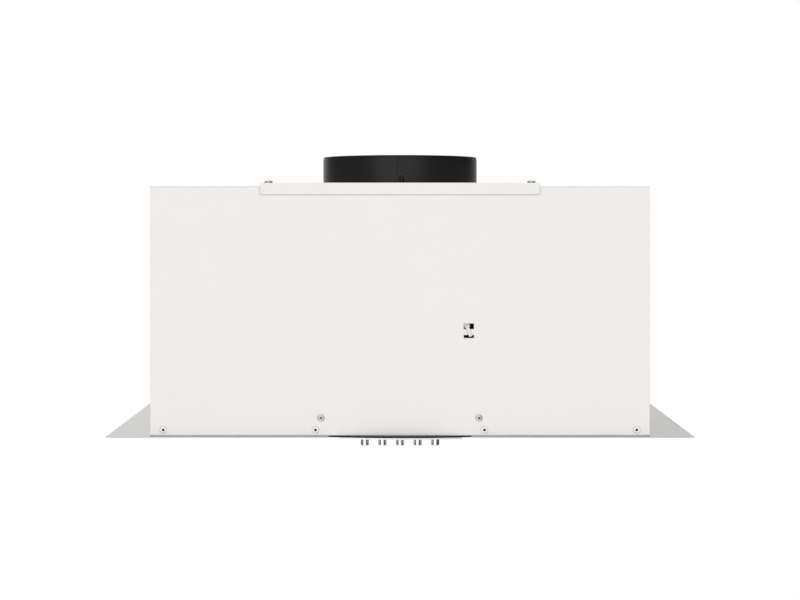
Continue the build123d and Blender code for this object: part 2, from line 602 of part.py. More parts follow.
with BuildPart() as outlet_collar:
    with BuildSketch(Plane.XY.offset(COLLAR_FLANGE_BOTTOM)):
        Circle(COLLAR_FLANGE_RADIUS)
        with Locations(*COLLAR_SCREW_POINTS):
            Circle(PAN_HOLE_RADIUS, mode=Mode.SUBTRACT)
    extrude(amount=COLLAR_FLANGE)
    # shoulder that centres the collar in the cover plate's hole
    with BuildSketch(Plane.XY.offset(COLLAR_FLANGE_BOTTOM)):
        Circle(COLLAR_SHOULDER_RADIUS)
    extrude(amount=COVER_TOP - COLLAR_FLANGE_BOTTOM)
    with BuildSketch(Plane.XY.offset(COLLAR_FLANGE_BOTTOM)):
        Circle(DUCT_RADIUS)
    extrude(amount=COLLAR_RIM - COLLAR_FLANGE_BOTTOM)
    chamfer(outlet_collar.edges().group_by(Axis.Z)[-1], length=COLLAR_RIM_CHAMFER)
    with BuildSketch(Plane.XY.offset(COLLAR_FLANGE_BOTTOM)):
        Circle(COLLAR_BORE_RADIUS)
    extrude(amount=COLLAR_RIM - COLLAR_FLANGE_BOTTOM, mode=Mode.SUBTRACT)
    # ledge that the closed flaps lie on
    with BuildSketch(Plane.XY.offset(DAMPER_STOP_TOP - DAMPER_STOP_HEIGHT)):
        Circle(COLLAR_BORE_RADIUS + COLLAR_WALL / 2)
        Circle(COLLAR_BORE_RADIUS - DAMPER_STOP_WIDTH, mode=Mode.SUBTRACT)
        Rectangle(4 * KNUCKLE_RADIUS, 2 * DUCT_RADIUS, mode=Mode.SUBTRACT)
    extrude(amount=DAMPER_STOP_HEIGHT)
    # blind holes for the damper's pin
    with BuildSketch(Plane.XZ):
        with Locations((0, DAMPER_Z)):
            Circle(DAMPER_PIN_RADIUS)
    extrude(amount=DAMPER_PIN_SEAT, both=True, mode=Mode.SUBTRACT)
    # springy lug cut free in the front wall by a long and a short slit
    with BuildSketch(Plane.XZ):
        with Locations((0, COVER_TOP)):
            Rectangle(LUG_SLIT_WIDTH, LUG_LONG_SLIT, align=(Align.CENTER, Align.MIN))
        with Locations((LUG_WIDTH, COVER_TOP)):
            Rectangle(LUG_SLIT_WIDTH, LUG_SHORT_SLIT, align=(Align.CENTER, Align.MIN))
    extrude(amount=DUCT_RADIUS, mode=Mode.SUBTRACT)
    # groove that sets off the rim's bead
    with BuildSketch(Plane.XY.offset(COLLAR_RIM - RIM_BEAD)):
        Circle(DUCT_RADIUS)
        Circle(DUCT_RADIUS - RIM_GROOVE_DEPTH, mode=Mode.SUBTRACT)
    extrude(amount=-RIM_GROOVE, mode=Mode.SUBTRACT)
    # flat of the moulding's gate and its parting lines, front and rear
    with BuildSketch(Plane.XZ.offset(DUCT_RADIUS - RIM_GROOVE_DEPTH)):
        with Locations((0, COLLAR_RIM - RIM_BEAD)):
            Rectangle(GATE_WIDTH, GATE_HEIGHT, align=(Align.CENTER, Align.MAX))
    extrude(amount=RIM_GROOVE_DEPTH, mode=Mode.SUBTRACT)
    with BuildSketch(Plane.XY.offset(COVER_TOP)):
        with GridLocations(0, 2 * DUCT_RADIUS, 1, 2):
            with Locations((SEAM_X, 0)):
                Rectangle(SEAM_WIDTH, 2 * SEAM_DEPTH)
    extrude(amount=COLLAR_STAND_OUT - RIM_BEAD, mode=Mode.SUBTRACT)
outlet_collar.part.label = "outlet_collar"
export_step(outlet_collar.part, "parts/outlet_collar.step")

with BuildPart() as damper_pin:
    with BuildSketch(Plane.XZ):
        with Locations((0, DAMPER_Z)):
            Circle(DAMPER_PIN_RADIUS)
    extrude(amount=DAMPER_PIN_SEAT - FASTENER_GAP, both=True)
damper_pin.part.label = "damper_pin"
export_step(damper_pin.part, "parts/damper_pin.step")

FLAP_RADIUS = COLLAR_BORE_RADIUS - FLAP_RIM_GAP
FLAP_EDGE = KNUCKLE_RADIUS + SLIP_GAP  # keeps the flaps apart when both stand open
KNUCKLE_LENGTH = FLAP_RADIUS * 0.8 / 2
for side_name, side in SIDES.items():
    # the two flaps' knuckles alternate along the pin
    knuckles = [side * i * KNUCKLE_LENGTH for i in (-0.5, 1.5)]
    with BuildPart() as damper_flap:
        with BuildSketch(Plane.XY.offset(DAMPER_Z - FLAP_THICKNESS / 2)):
            Circle(FLAP_RADIUS)
            with Locations((-side * FLAP_RADIUS, 0)):
                Rectangle(2 * FLAP_RADIUS, 2 * FLAP_RADIUS, mode=Mode.SUBTRACT)
            Rectangle(2 * FLAP_EDGE, 2 * FLAP_RADIUS, mode=Mode.SUBTRACT)
            with Locations(*[(side * FLAP_EDGE / 2, y) for y in knuckles]):
                Rectangle(FLAP_EDGE, KNUCKLE_LENGTH - 2 * SLIP_GAP)
        extrude(amount=FLAP_THICKNESS)
        for y in knuckles:
            with BuildSketch(Plane.XZ.offset(-y)):
                with Locations((0, DAMPER_Z)):
                    Circle(KNUCKLE_RADIUS)
            extrude(amount=KNUCKLE_LENGTH / 2 - SLIP_GAP, both=True)
        with BuildSketch(Plane.XZ):
            with Locations((0, DAMPER_Z)):
                Circle(DAMPER_PIN_RADIUS + BEARING_GAP)
        extrude(amount=FLAP_RADIUS, both=True, mode=Mode.SUBTRACT)
    damper_flap.part.label = f"damper_flap_{side_name}"
    export_step(damper_flap.part, f"parts/damper_flap_{side_name}.step")

# ---------------------------------------------------------------- controls


def bowed_plan(half_width, front_y, bow, rear_y):
    """Plan of a plate with a straight back and a gently bowed front."""
    with BuildSketch() as plan:
        with BuildLine():
            ThreePointArc((-half_width, front_y), (0, front_y - bow), (half_width, front_y))
            Polyline(
                (half_width, front_y), (half_width, rear_y), (-half_width, rear_y), (-half_width, front_y)
            )
        make_face()
    return plan.sketch


with BuildPart() as control_housing:
    with BuildSketch(Plane.XY.offset(-CONTROL_PLATE)):
        add(
            bowed_plan(
                NOTCH_WIDTH / 2 - SLIP_GAP, FRONT_Y, CONTROL_BOW, NOTCH_REAR_Y - SLIP_GAP
            )
        )
    extrude(amount=CONTROL_PLATE)
    control_middle_y = (CONTROL_FRONT_Y + CONTROL_REAR_Y) / 2
    control_box_depth = CONTROL_REAR_Y - CONTROL_FRONT_Y
    with BuildSketch():
        with Locations((0, control_middle_y)):
            Rectangle(CONTROL_BOX_WIDTH, control_box_depth)
    extrude(amount=CONTROL_BOX_HEIGHT)
    with BuildSketch(Plane.XY.offset(CONTROL_WALL)):
        with Locations((0, control_middle_y)):
            Rectangle(CONTROL_BOX_WIDTH - 2 * CONTROL_WALL, control_box_depth - 2 * CONTROL_WALL)
    extrude(amount=CONTROL_BOX_HEIGHT, mode=Mode.SUBTRACT)
    with Locations(*[(x, CONTROL_FRONT_Y, z) for x, z in CONTROL_SCREW_POINTS]):
        Box(CONTROL_BOSS, CONTROL_BOSS, CONTROL_BOSS, align=(Align.CENTER, Align.MIN, Align.CENTER))
    with BuildSketch(Plane.XZ.offset(-CONTROL_FRONT_Y)):
        with Locations(*CONTROL_SCREW_POINTS):
            Circle(CONTROL_HOLE_RADIUS)
    extrude(amount=-CONTROL_BOSS, mode=Mode.SUBTRACT)
    with BuildSketch(Plane.XY.offset(-CONTROL_PLATE)):
        with Locations(*[(x, BUTTON_Y) for x in BUTTON_XS]):
            Circle(BUTTON_HOLE_RADIUS)
    extrude(amount=CONTROL_PLATE + CONTROL_WALL, mode=Mode.SUBTRACT)
    # the inner rivets' tails end in the front wall
    with BuildSketch(Plane.XZ.offset(-CONTROL_FRONT_Y)):
        with Locations(*[(x, RIVET_HEIGHT) for x in END_RIVET_XS]):
            Circle(RIVET_SHANK_RADIUS + SLIP_GAP)
    extrude(amount=-CONTROL_WALL, mode=Mode.SUBTRACT)
control_housing.part.label = "control_housing"
export_step(control_housing.part, "parts/control_housing.step")

with BuildPart() as control_cover:
    with BuildSketch(Plane.XY.offset(CONTROL_BOX_HEIGHT)):
        with Locations((0, control_middle_y)):
            Rectangle(CONTROL_BOX_WIDTH, control_box_depth)
    extrude(amount=CONTROL_WALL)
    with BuildSketch(Plane.XY.offset(CONTROL_BOX_HEIGHT)):
        with Locations((LEAD_START_X, LEAD_START_Y)):
            Circle(LEAD_BOSS_RADIUS)
    extrude(amount=CONTROL_WALL + LEAD_BOSS_HEIGHT)
control_cover.part.label = "control_cover"
export_step(control_cover.part, "parts/control_cover.step")

with BuildPart() as control_fascia:
    with BuildSketch(Plane.XY.offset(-CONTROL_PLATE - FASCIA_THICKNESS)):
        add(
            bowed_plan(
                FASCIA_WIDTH / 2, FRONT_Y - FASCIA_INSET, CONTROL_BOW - 2 * FASCIA_INSET, NOTCH_REAR_Y - 2
            )
        )
        with Locations(*[(x, BUTTON_Y) for x in BUTTON_XS]):
            Circle(BUTTON_HOLE_RADIUS, mode=Mode.SUBTRACT)
    extrude(amount=FASCIA_THICKNESS)
control_fascia.part.label = "control_fascia"
export_step(control_fascia.part, "parts/control_fascia.step")

with BuildPart() as switch_block:
    with BuildSketch(Plane.XY.offset(SWITCH_BOTTOM)):
        with Locations((0, BUTTON_Y)):
            Rectangle(SWITCH_WIDTH, SWITCH_DEPTH)
    extrude(amount=SWITCH_TOP - SWITCH_BOTTOM)
    with BuildSketch(Plane.XY.offset(CONTROL_WALL)):
        with Locations((0, BUTTON_Y)):
            with GridLocations(SWITCH_WIDTH - SWITCH_LEG, 0, 2, 1):
                Rectangle(SWITCH_LEG, SWITCH_DEPTH)
    extrude(amount=SWITCH_BOTTOM - CONTROL_WALL)
    with BuildSketch(Plane.XY.offset(SWITCH_BOTTOM)):
        with Locations(*[(x, BUTTON_Y) for x in BUTTON_XS]):
            Circle(BUTTON_STEM_RADIUS + SLIP_GAP)
    extrude(amount=BUTTON_STEM_TOP + BUTTON_TRAVEL + SLIP_GAP - SWITCH_BOTTOM, mode=Mode.SUBTRACT)
switch_block.part.label = "switch_block"
export_step(switch_block.part, "parts/switch_block.step")

for button_name, button_x in zip(BUTTON_NAMES, BUTTON_XS):
    with BuildPart() as button:
        with BuildSketch(Plane.XY.offset(-BUTTON_DROP)):
            with Locations((button_x, BUTTON_Y)):
                Circle(BUTTON_RADIUS)
        extrude(amount=BUTTON_DROP + BUTTON_COLLAR_BOTTOM)
        fillet(button.edges().group_by(Axis.Z)[0], radius=BUTTON_EDGE)
        with BuildSketch(Plane.XY.offset(BUTTON_COLLAR_BOTTOM)):
            with Locations((button_x, BUTTON_Y)):
                Circle(BUTTON_COLLAR_RADIUS)
        extrude(amount=BUTTON_COLLAR)
        with BuildSketch(Plane.XY.offset(BUTTON_COLLAR_BOTTOM + BUTTON_COLLAR)):
            with Locations((button_x, BUTTON_Y)):
                Circle(BUTTON_STEM_RADIUS)
        extrude(amount=BUTTON_STEM_TOP - BUTTON_COLLAR_BOTTOM - BUTTON_COLLAR)
    button.part.label = button_name
    export_step(button.part, f"parts/{button_name}.step")

with BuildPart() as control_screws:
    control_screw = pan_screw(
        CONTROL_SCREW_HEAD_RADIUS, CONTROL_SCREW_HEAD_HEIGHT, CONTROL_SCREW_RADIUS, CONTROL_SCREW_LENGTH
    )
    with Locations(*[Location((x, FRONT_Y, z), (90, 0, 0)) for x, z in CONTROL_SCREW_POINTS]):
        add(control_screw)
control_screws.part.label = "control_screws"
export_step(control_screws.part, "parts/control_screws.step")

# ---------------------------------------------------------------- lamps

BEZEL_INNER_RADIUS = LAMP_HOLE_RADIUS - BEZEL_WALL - FASTENER_GAP
CUP_RADIUS = BEZEL_INNER_RADIUS

for side_name, side in SIDES.items():
    lamp_plane = Plane(origin=(side * LAMP_X, LAMP_Y, 0), x_dir=(1, 0, 0), z_dir=(0, -1, 0))
    lamp_axis = Axis((side * LAMP_X, LAMP_Y, 0), (0, 0, 1))
    with BuildPart() as lamp_bezel:
        with BuildSketch(lamp_plane):
            with BuildLine():
                Polyline(
                    (BEZEL_INNER_RADIUS, BEZEL_SLEEVE_HEIGHT),
                    (BEZEL_INNER_RADIUS, -FLANGE_SHEET - BEZEL_DROP),
                    (BEZEL_RADIUS - BEZEL_DROP, -FLANGE_SHEET - BEZEL_DROP),
                )
                ThreePointArc(
                    (BEZEL_RADIUS - BEZEL_DROP, -FLANGE_SHEET - BEZEL_DROP),
                    (BEZEL_RADIUS - BEZEL_DROP * 0.3, -FLANGE_SHEET - BEZEL_DROP * 0.7),
                    (BEZEL_RADIUS, -FLANGE_SHEET),
                )
                Polyline(
                    (BEZEL_RADIUS, -FLANGE_SHEET),
                    (LAMP_HOLE_RADIUS - FASTENER_GAP, -FLANGE_SHEET),
                    (LAMP_HOLE_RADIUS - FASTENER_GAP, BEZEL_SLEEVE_HEIGHT),
                    (BEZEL_INNER_RADIUS, BEZEL_SLEEVE_HEIGHT),
                )
            make_face()
        revolve(axis=lamp_axis)
    lamp_bezel.part.label = f"lamp_bezel_{side_name}"
    export_step(lamp_bezel.part, f"parts/lamp_bezel_{side_name}.step")

    with BuildPart() as lamp_lens:
        with BuildSketch(Plane.XY.offset(-FLANGE_SHEET - LENS_THICKNESS)):
            with Locations((side * LAMP_X, LAMP_Y)):
                Circle(BEZEL_INNER_RADIUS)
        extrude(amount=LENS_THICKNESS)
    lamp_lens.part.label = f"lamp_lens_{side_name}"
    export_step(lamp_lens.part, f"parts/lamp_lens_{side_name}.step")

    with BuildPart() as lamp_holder:
        with BuildSketch(lamp_plane):
            with BuildLine():
                Polyline(
                    (CUP_RADIUS, -FLANGE_SHEET),
                    (CUP_RADIUS, LAMP_CUP_HEIGHT),
                    (LAMP_CAP_RADIUS, LAMP_CUP_HEIGHT),
                    (LAMP_CAP_RADIUS, LAMP_CAP_TOP),
                    (0, LAMP_CAP_TOP),
                    (0, LAMP_CUP_HEIGHT - LAMP_CUP_WALL),
                    (LAMP_CAP_RADIUS - LAMP_CUP_WALL, LAMP_CUP_HEIGHT - LAMP_CUP_WALL),
                    (CUP_RADIUS - LAMP_CUP_WALL, -FLANGE_SHEET),
                    (CUP_RADIUS, -FLANGE_SHEET),
                )
            make_face()
        revolve(axis=lamp_axis)
    lamp_holder.part.label = f"lamp_holder_{side_name}"
    export_step(lamp_holder.part, f"parts/lamp_holder_{side_name}.step")

# ---------------------------------------------------------------- grease filters

FILTER_WIDTH = FILTER_OPENING_WIDTH - 2 * FILTER_GAP
FILTER_DEPTH = FILTER_OPENING_DEPTH - 2 * FILTER_GAP
FILTER_EDGE_Y = FILTER_FRONT_Y + FILTER_GAP
FILTER_REAR_Y = FILTER_EDGE_Y + FILTER_DEPTH
FILTER_BOTTOM = -FLANGE_SHEET
PAD_BOTTOM = FILTER_BOTTOM + (FILTER_THICKNESS - PAD_THICKNESS) / 2
PAD_WIDTH = FILTER_WIDTH - 2 * (FILTER_RIM - PAD_TUCK)
PAD_DEPTH = FILTER_DEPTH - 2 * (FILTER_RIM - PAD_TUCK)
LATCH_FRONT_Y = FILTER_EDGE_Y + LATCH_POCKET_WALL + SLIP_GAP
LATCH_POCKET_DEPTH = LATCH_DEPTH + LATCH_TRAVEL + 2 * SLIP_GAP
TONGUE_BOTTOM = SLIP_GAP + TAB_LIFT
TONGUE_FRONT_Y = FILTER_FRONT_Y - TONGUE_REACH + SLIP_GAP

for side_name, side in SIDES.items():
    filter_x = side * FILTER_X
    middle = (filter_x, FILTER_OPENING_Y)
    with BuildPart() as filter_frame:
        with BuildSketch(Plane.XY.offset(FILTER_BOTTOM)):
            with Locations(middle):
                Rectangle(FILTER_WIDTH, FILTER_DEPTH)
                Rectangle(
                    FILTER_WIDTH - 2 * FILTER_RIM, FILTER_DEPTH - 2 * FILTER_RIM, mode=Mode.SUBTRACT
                )
            with Locations((filter_x, FILTER_EDGE_Y)):
                Rectangle(LATCH_BLOCK_WIDTH, LATCH_BLOCK_DEPTH, align=(Align.CENTER, Align.MIN))
        extrude(amount=FILTER_THICKNESS)
        # groove that holds the mesh pad
        with BuildSketch(Plane.XY.offset(PAD_BOTTOM)):
            with Locations(middle):
                Rectangle(PAD_WIDTH, PAD_DEPTH)
            with Locations((filter_x, FILTER_EDGE_Y)):
                Rectangle(
                    LATCH_BLOCK_WIDTH,
                    LATCH_BLOCK_DEPTH,
                    align=(Align.CENTER, Align.MIN),
                    mode=Mode.SUBTRACT,
                )
        extrude(amount=PAD_THICKNESS, mode=Mode.SUBTRACT)
        # pocket of the latch, open below, and the slot that its tongue passes through
        with BuildSketch(Plane.XY.offset(FILTER_BOTTOM)):
            with Locations((filter_x, LATCH_FRONT_Y - SLIP_GAP)):
                Rectangle(
                    LATCH_WIDTH + 2 * SLIP_GAP, LATCH_POCKET_DEPTH, align=(Align.CENTER, Align.MIN)
                )
        extrude(amount=LATCH_THICKNESS + SLIP_GAP, mode=Mode.SUBTRACT)
        with BuildSketch(Plane.XY.offset(FILTER_BOTTOM)):
            with Locations((filter_x, FILTER_EDGE_Y)):
                Rectangle(
                    TONGUE_WIDTH + 2 * SLIP_GAP,
                    LATCH_POCKET_WALL,
                    align=(Align.CENTER, Align.MIN),
                )
        extrude(amount=LATCH_THICKNESS + SLIP_GAP, mode=Mode.SUBTRACT)
        # tabs that hook over the rear strip of the flange
        with BuildSketch(Plane.XY.offset(TAB_LIFT)):
            with Locations((filter_x, FILTER_REAR_Y)):
                with GridLocations(TAB_SPACING, 0, 2, 1):
                    Rectangle(TAB_WIDTH, TAB_LENGTH, align=(Align.CENTER, Align.MIN))
        extrude(amount=TAB_THICKNESS)
    filter_frame.part.label = f"filter_frame_{side_name}"
    export_step(filter_frame.part, f"parts/filter_frame_{side_name}.step")

    # Waved pad: a zigzag profile carried from front to back, with room round the latch
    pad_width = PAD_WIDTH - 2 * PAD_GAP
    wave = pad_width / PAD_WAVES
    wave_rise = PAD_THICKNESS - 2 * PAD_GAP - PAD_SHEET
    pad_left = filter_x - pad_width / 2
    pad_low = PAD_BOTTOM + PAD_GAP
    lower_edge = [
        (pad_left + wave * i / 2, pad_low + (i % 2) * wave_rise) for i in range(2 * PAD_WAVES + 1)
    ]
    upper_edge = [(x, z + PAD_SHEET) for x, z in reversed(lower_edge)]
    with BuildPart() as filter_mesh:
        with BuildSketch(Plane.XZ.offset(-FILTER_OPENING_Y)):
            with BuildLine():
                Polyline(*lower_edge, *upper_edge, close=True)
            make_face()
        extrude(amount=PAD_DEPTH / 2 - PAD_GAP, both=True)
        with Locations((filter_x, FILTER_EDGE_Y, PAD_BOTTOM)):
            Box(
                LATCH_BLOCK_WIDTH + 2 * PAD_GAP,
                LATCH_BLOCK_DEPTH + PAD_GAP,
                PAD_THICKNESS,
                align=(Align.CENTER, Align.MIN, Align.MIN),
                mode=Mode.SUBTRACT,
            )
    filter_mesh.part.label = f"filter_mesh_{side_name}"
    export_step(filter_mesh.part, f"parts/filter_mesh_{side_name}.step")

    with BuildPart() as filter_latch:
        with BuildSketch(Plane.XY.offset(FILTER_BOTTOM)):
            with Locations((filter_x, LATCH_FRONT_Y)):
                Rectangle(LATCH_WIDTH, LATCH_DEPTH, align=(Align.CENTER, Align.MIN))
        extrude(amount=LATCH_THICKNESS)
        with BuildSketch(Plane.XY.offset(TONGUE_BOTTOM)):
            with Locations((filter_x, TONGUE_FRONT_Y)):
                Rectangle(
                    TONGUE_WIDTH, LATCH_FRONT_Y - TONGUE_FRONT_Y, align=(Align.CENTER, Align.MIN)
                )
        extrude(amount=TONGUE_THICKNESS)
        # scoop for a fingertip
        with BuildSketch(Plane.YZ.offset(filter_x)):
            with Locations((LATCH_FRONT_Y + LATCH_DEPTH / 2, FILTER_BOTTOM - THUMB_RADIUS / 2)):
                Circle(THUMB_RADIUS)
        extrude(amount=LATCH_WIDTH / 3, both=True, mode=Mode.SUBTRACT)
        # grip grooves across both ends
        with BuildSketch(Plane.XY.offset(FILTER_BOTTOM)):
            with Locations((filter_x, LATCH_FRONT_Y + LATCH_DEPTH / 2)):
                with GridLocations(0, GRIP_PITCH, 1, GRIP_COUNT):
                    with GridLocations(LATCH_WIDTH * 5 / 6, 0, 2, 1):
                        Rectangle(LATCH_WIDTH / 8, GRIP_GROOVE)
        extrude(amount=GRIP_GROOVE, mode=Mode.SUBTRACT)
    filter_latch.part.label = f"filter_latch_{side_name}"
    export_step(filter_latch.part, f"parts/filter_latch_{side_name}.step")

# ---------------------------------------------------------------- blower


def scroll_face():
    """Inside of the scroll and its outlet, drawn about the wheel's axis."""
    first, second, third = [SCROLL_START_RADIUS + i * SCROLL_STEP for i in range(3)]
    tongue_v = first - HALF_STEP + TONGUE_RADIUS
    with BuildSketch() as region:
        with BuildLine():
            CenterArc((-HALF_STEP, tongue_v), TONGUE_RADIUS, 270, 90)
            CenterArc((-HALF_STEP, -HALF_STEP), first, 90, 90)
            CenterArc((HALF_STEP, -HALF_STEP), second, 180, 90)
            CenterArc((HALF_STEP, HALF_STEP), third, 270, 90)
            Polyline(
                (SCROLL_RIGHT_U, HALF_STEP),
                (SCROLL_RIGHT_U, OUTLET_TOP_V),
                (SCROLL_TONGUE_U, OUTLET_TOP_V),
                (SCROLL_TONGUE_U, tongue_v),
            )
        make_face()
    return region.sketch


SCROLL_REGION = scroll_face()
OUTLET_DEPTH = SCROLL_RIGHT_U - SCROLL_TONGUE_U

with BuildPart() as scroll_wrapper:
    with BuildSketch(BLOWER_PLANE):
        add(SCROLL_REGION)
        offset(amount=SCROLL_SHEET, kind=Kind.INTERSECTION)
        add(SCROLL_REGION, mode=Mode.SUBTRACT)
        with Locations(((SCROLL_RIGHT_U + SCROLL_TONGUE_U) / 2, OUTLET_TOP_V)):
            Rectangle(
                2 * OUTLET_DEPTH, SCROLL_SHEET, align=(Align.CENTER, Align.MIN), mode=Mode.SUBTRACT
            )
    extrude(amount=SCROLL_HALF, both=True)
    with BuildSketch(Plane.XY.offset(OUTLET_TOP)):
        Rectangle(OUTLET_FLANGE_SIZE, OUTLET_FLANGE_SIZE)
        Rectangle(SCROLL_INNER_WIDTH, OUTLET_DEPTH, mode=Mode.SUBTRACT)
        with Locations(*COLLAR_SCREW_POINTS):
            Circle(PAN_HOLE_RADIUS, mode=Mode.SUBTRACT)
    extrude(amount=-SCROLL_SHEET)
scroll_wrapper.part.label = "scroll_wrapper"
export_step(scroll_wrapper.part, "parts/scroll_wrapper.step")

for side_name, side in SIDES.items():
    with BuildPart() as scroll_side:
        with BuildSketch(BLOWER_PLANE.offset(side * SCROLL_HALF)):
            add(SCROLL_REGION)
            offset(amount=SCROLL_SHEET + SCROLL_SIDE_LIP, kind=Kind.INTERSECTION)
            with Locations((0, OUTLET_TOP_V - SCROLL_SHEET)):
                Rectangle(
                    4 * SCROLL_RIGHT_U, OUTLET_DEPTH, align=(Align.CENTER, Align.MIN), mode=Mode.SUBTRACT
                )
            Circle(INLET_RADIUS, mode=Mode.SUBTRACT)
            if side > 0:
                with Locations(*BRACKET_POINTS):
                    Circle(BRACKET_SCREW_RADIUS + FASTENER_GAP, mode=Mode.SUBTRACT)
        extrude(amount=side * SCROLL_SIDE_SHEET)
        # inlet pressed outwards into a rounded mouth
        with BuildSketch(AXIAL_PLANE):
            with BuildLine():
                plate_x = side * SIDE_OUTER
                mouth_x = side * (SIDE_OUTER + INLET_FLARE)
                RadiusArc(
                    (plate_x, INLET_RADIUS),
                    (mouth_x, INLET_RADIUS + INLET_FLARE),
                    side * INLET_FLARE,
                )
                Line(
                    (mouth_x, INLET_RADIUS + INLET_FLARE),
                    (mouth_x, INLET_RADIUS + INLET_FLARE + SCROLL_SIDE_SHEET),
                )
                RadiusArc(
                    (mouth_x, INLET_RADIUS + INLET_FLARE + SCROLL_SIDE_SHEET),
                    (side * (SIDE_OUTER - SCROLL_SIDE_SHEET), INLET_RADIUS),
                    -side * (INLET_FLARE + SCROLL_SIDE_SHEET),
                )
                Line((side * (SIDE_OUTER - SCROLL_SIDE_SHEET), INLET_RADIUS), (plate_x, INLET_RADIUS))
            make_face()
        revolve(axis=BLOWER_AXIS)
    scroll_side.part.label = f"scroll_side_{side_name}"
    export_step(scroll_side.part, f"parts/scroll_side_{side_name}.step")


def blade_section():
    """Forward-curved blade across its length: a thin crescent from the root to the tip circle."""
    bow = BLADE_DEPTH * 0.24
    root = (BLADE_ROOT_RADIUS, 0)
    tip = (WHEEL_RADIUS, BLADE_DEPTH * 0.42)
    middle_point = ((root[0] + tip[0]) / 2, (root[1] + tip[1]) / 2 - bow)
    with BuildSketch() as section:
        with BuildLine():
            ThreePointArc(root, middle_point, tip)
            Line(tip, (tip[0], tip[1] + BLADE_THICKNESS))
            ThreePointArc(
                (tip[0], tip[1] + BLADE_THICKNESS),
                (middle_point[0], middle_point[1] + BLADE_THICKNESS),
                (root[0], root[1] + BLADE_THICKNESS),
            )
            Line((root[0], root[1] + BLADE_THICKNESS), root)
        make_face()
    return section.sketch


# Double-inlet wheel: two rows of blades crimped between a middle disc and two end rings
with BuildPart() as impeller_disc:
    with BuildSketch(BLOWER_PLANE):
        Circle(WHEEL_RADIUS + WHEEL_RING_PROUD)
    extrude(amount=WHEEL_DISC / 2, both=True)
    with BuildSketch(BLOWER_PLANE):
        Circle(HUB_RADIUS)
    extrude(amount=HUB_LENGTH / 2, both=True)
    with BuildSketch(BLOWER_PLANE):
        Circle(SHAFT_RADIUS)
    extrude(amount=HUB_LENGTH, both=True, mode=Mode.SUBTRACT)
impeller_disc.part.label = "impeller_disc"
export_step(impeller_disc.part, "parts/impeller_disc.step")

with BuildPart() as impeller_blades:
    for side in SIDES.values():
        with BuildSketch(BLOWER_PLANE.offset(side * WHEEL_DISC / 2)):
            with PolarLocations(0, BLADE_COUNT):
                add(blade_section())
        extrude(amount=side * ((WHEEL_WIDTH - WHEEL_DISC) / 2 - WHEEL_RING))
impeller_blades.part.label = "impeller_blades"
export_step(impeller_blades.part, "parts/impeller_blades.step")

with BuildPart() as impeller_rings:
    for ring_x in (-WHEEL_WIDTH / 2, WHEEL_WIDTH / 2 - WHEEL_RING):
        with BuildSketch(BLOWER_PLANE.offset(ring_x)):
            Circle(WHEEL_RADIUS + WHEEL_RING_PROUD)
            Circle(WHEEL_RADIUS - BLADE_DEPTH / 3, mode=Mode.SUBTRACT)
        extrude(amount=WHEEL_RING)
impeller_rings.part.label = "impeller_rings"
export_step(impeller_rings.part, "parts/impeller_rings.step")

# ---------------------------------------------------------------- motor

with BuildPart() as motor_shaft:
    with BuildSketch(BLOWER_PLANE.offset(SHAFT_FRONT)):
        Circle(SHAFT_RADIUS)
    extrude(amount=SHAFT_REAR - SHAFT_FRONT)
    chamfer(motor_shaft.edges().group_by(Axis.X)[0], length=SHAFT_RADIUS / 8)
motor_shaft.part.label = "motor_shaft"
export_step(motor_shaft.part, "parts/motor_shaft.step")

with BuildPart() as motor_rotor:
    with BuildSketch(BLOWER_PLANE.offset(STATOR_FRONT)):
        Circle(STATOR_BORE_RADIUS - AIR_GAP)
        Circle(SHAFT_RADIUS, mode=Mode.SUBTRACT)
    extrude(amount=STATOR_LENGTH)
motor_rotor.part.label = "motor_rotor"
export_step(motor_rotor.part, "parts/motor_rotor.step")


def cooling_slots():
    """Radial slots between the bearing and the windings."""
    with BuildSketch() as slots:
        with PolarLocations((STATOR_BORE_RADIUS + BEARING_RADIUS) / 2, COOLING_SLOT_COUNT):
            SlotOverall(COOLING_SLOT_LENGTH, COOLING_SLOT_WIDTH)
    return slots.sketch


with BuildPart() as motor_can:
    with BuildSketch(BLOWER_PLANE.offset(MOTOR_FRONT)):
        Circle(MOTOR_RADIUS)
    extrude(amount=MOTOR_CAN_LENGTH)
    fillet(motor_can.edges().group_by(Axis.X)[0], radius=MOTOR_CAN_WALL * 1.5)
    with BuildSketch(BLOWER_PLANE.offset(MOTOR_FRONT + MOTOR_CAN_WALL)):
        Circle(CAN_BORE_RADIUS)
    extrude(amount=MOTOR_CAN_LENGTH, mode=Mode.SUBTRACT)
    with BuildSketch(BLOWER_PLANE.offset(MOTOR_FRONT)):
        Circle(BEARING_RADIUS)
    extrude(amount=MOTOR_CAN_WALL, mode=Mode.SUBTRACT)
    with BuildSketch(BLOWER_PLANE.offset(MOTOR_FRONT)):
        add(cooling_slots())
    extrude(amount=MOTOR_CAN_WALL, mode=Mode.SUBTRACT)
motor_can.part.label = "motor_can"
export_step(motor_can.part, "parts/motor_can.step")

with BuildPart() as motor_end_cap:
    with BuildSketch(BLOWER_PLANE.offset(CAN_REAR)):
        Circle(MOTOR_RADIUS)
    extrude(amount=END_CAP_PLATE)
    with BuildSketch(BLOWER_PLANE.offset(CAN_REAR)):
        Circle(END_CAP_DOME_RADIUS)
    extrude(amount=END_CAP_PLATE + END_CAP_DOME)
    fillet(motor_end_cap.edges().group_by(Axis.X)[-1], radius=END_CAP_DOME / 2)
    with BuildSketch(BLOWER_PLANE.offset(CAN_REAR)):
        Circle(BEARING_RADIUS)
        add(cooling_slots())
    extrude(amount=END_CAP_PLATE + END_CAP_DOME, mode=Mode.SUBTRACT)
motor_end_cap.part.label = "motor_end_cap"
export_step(motor_end_cap.part, "parts/motor_end_cap.step")

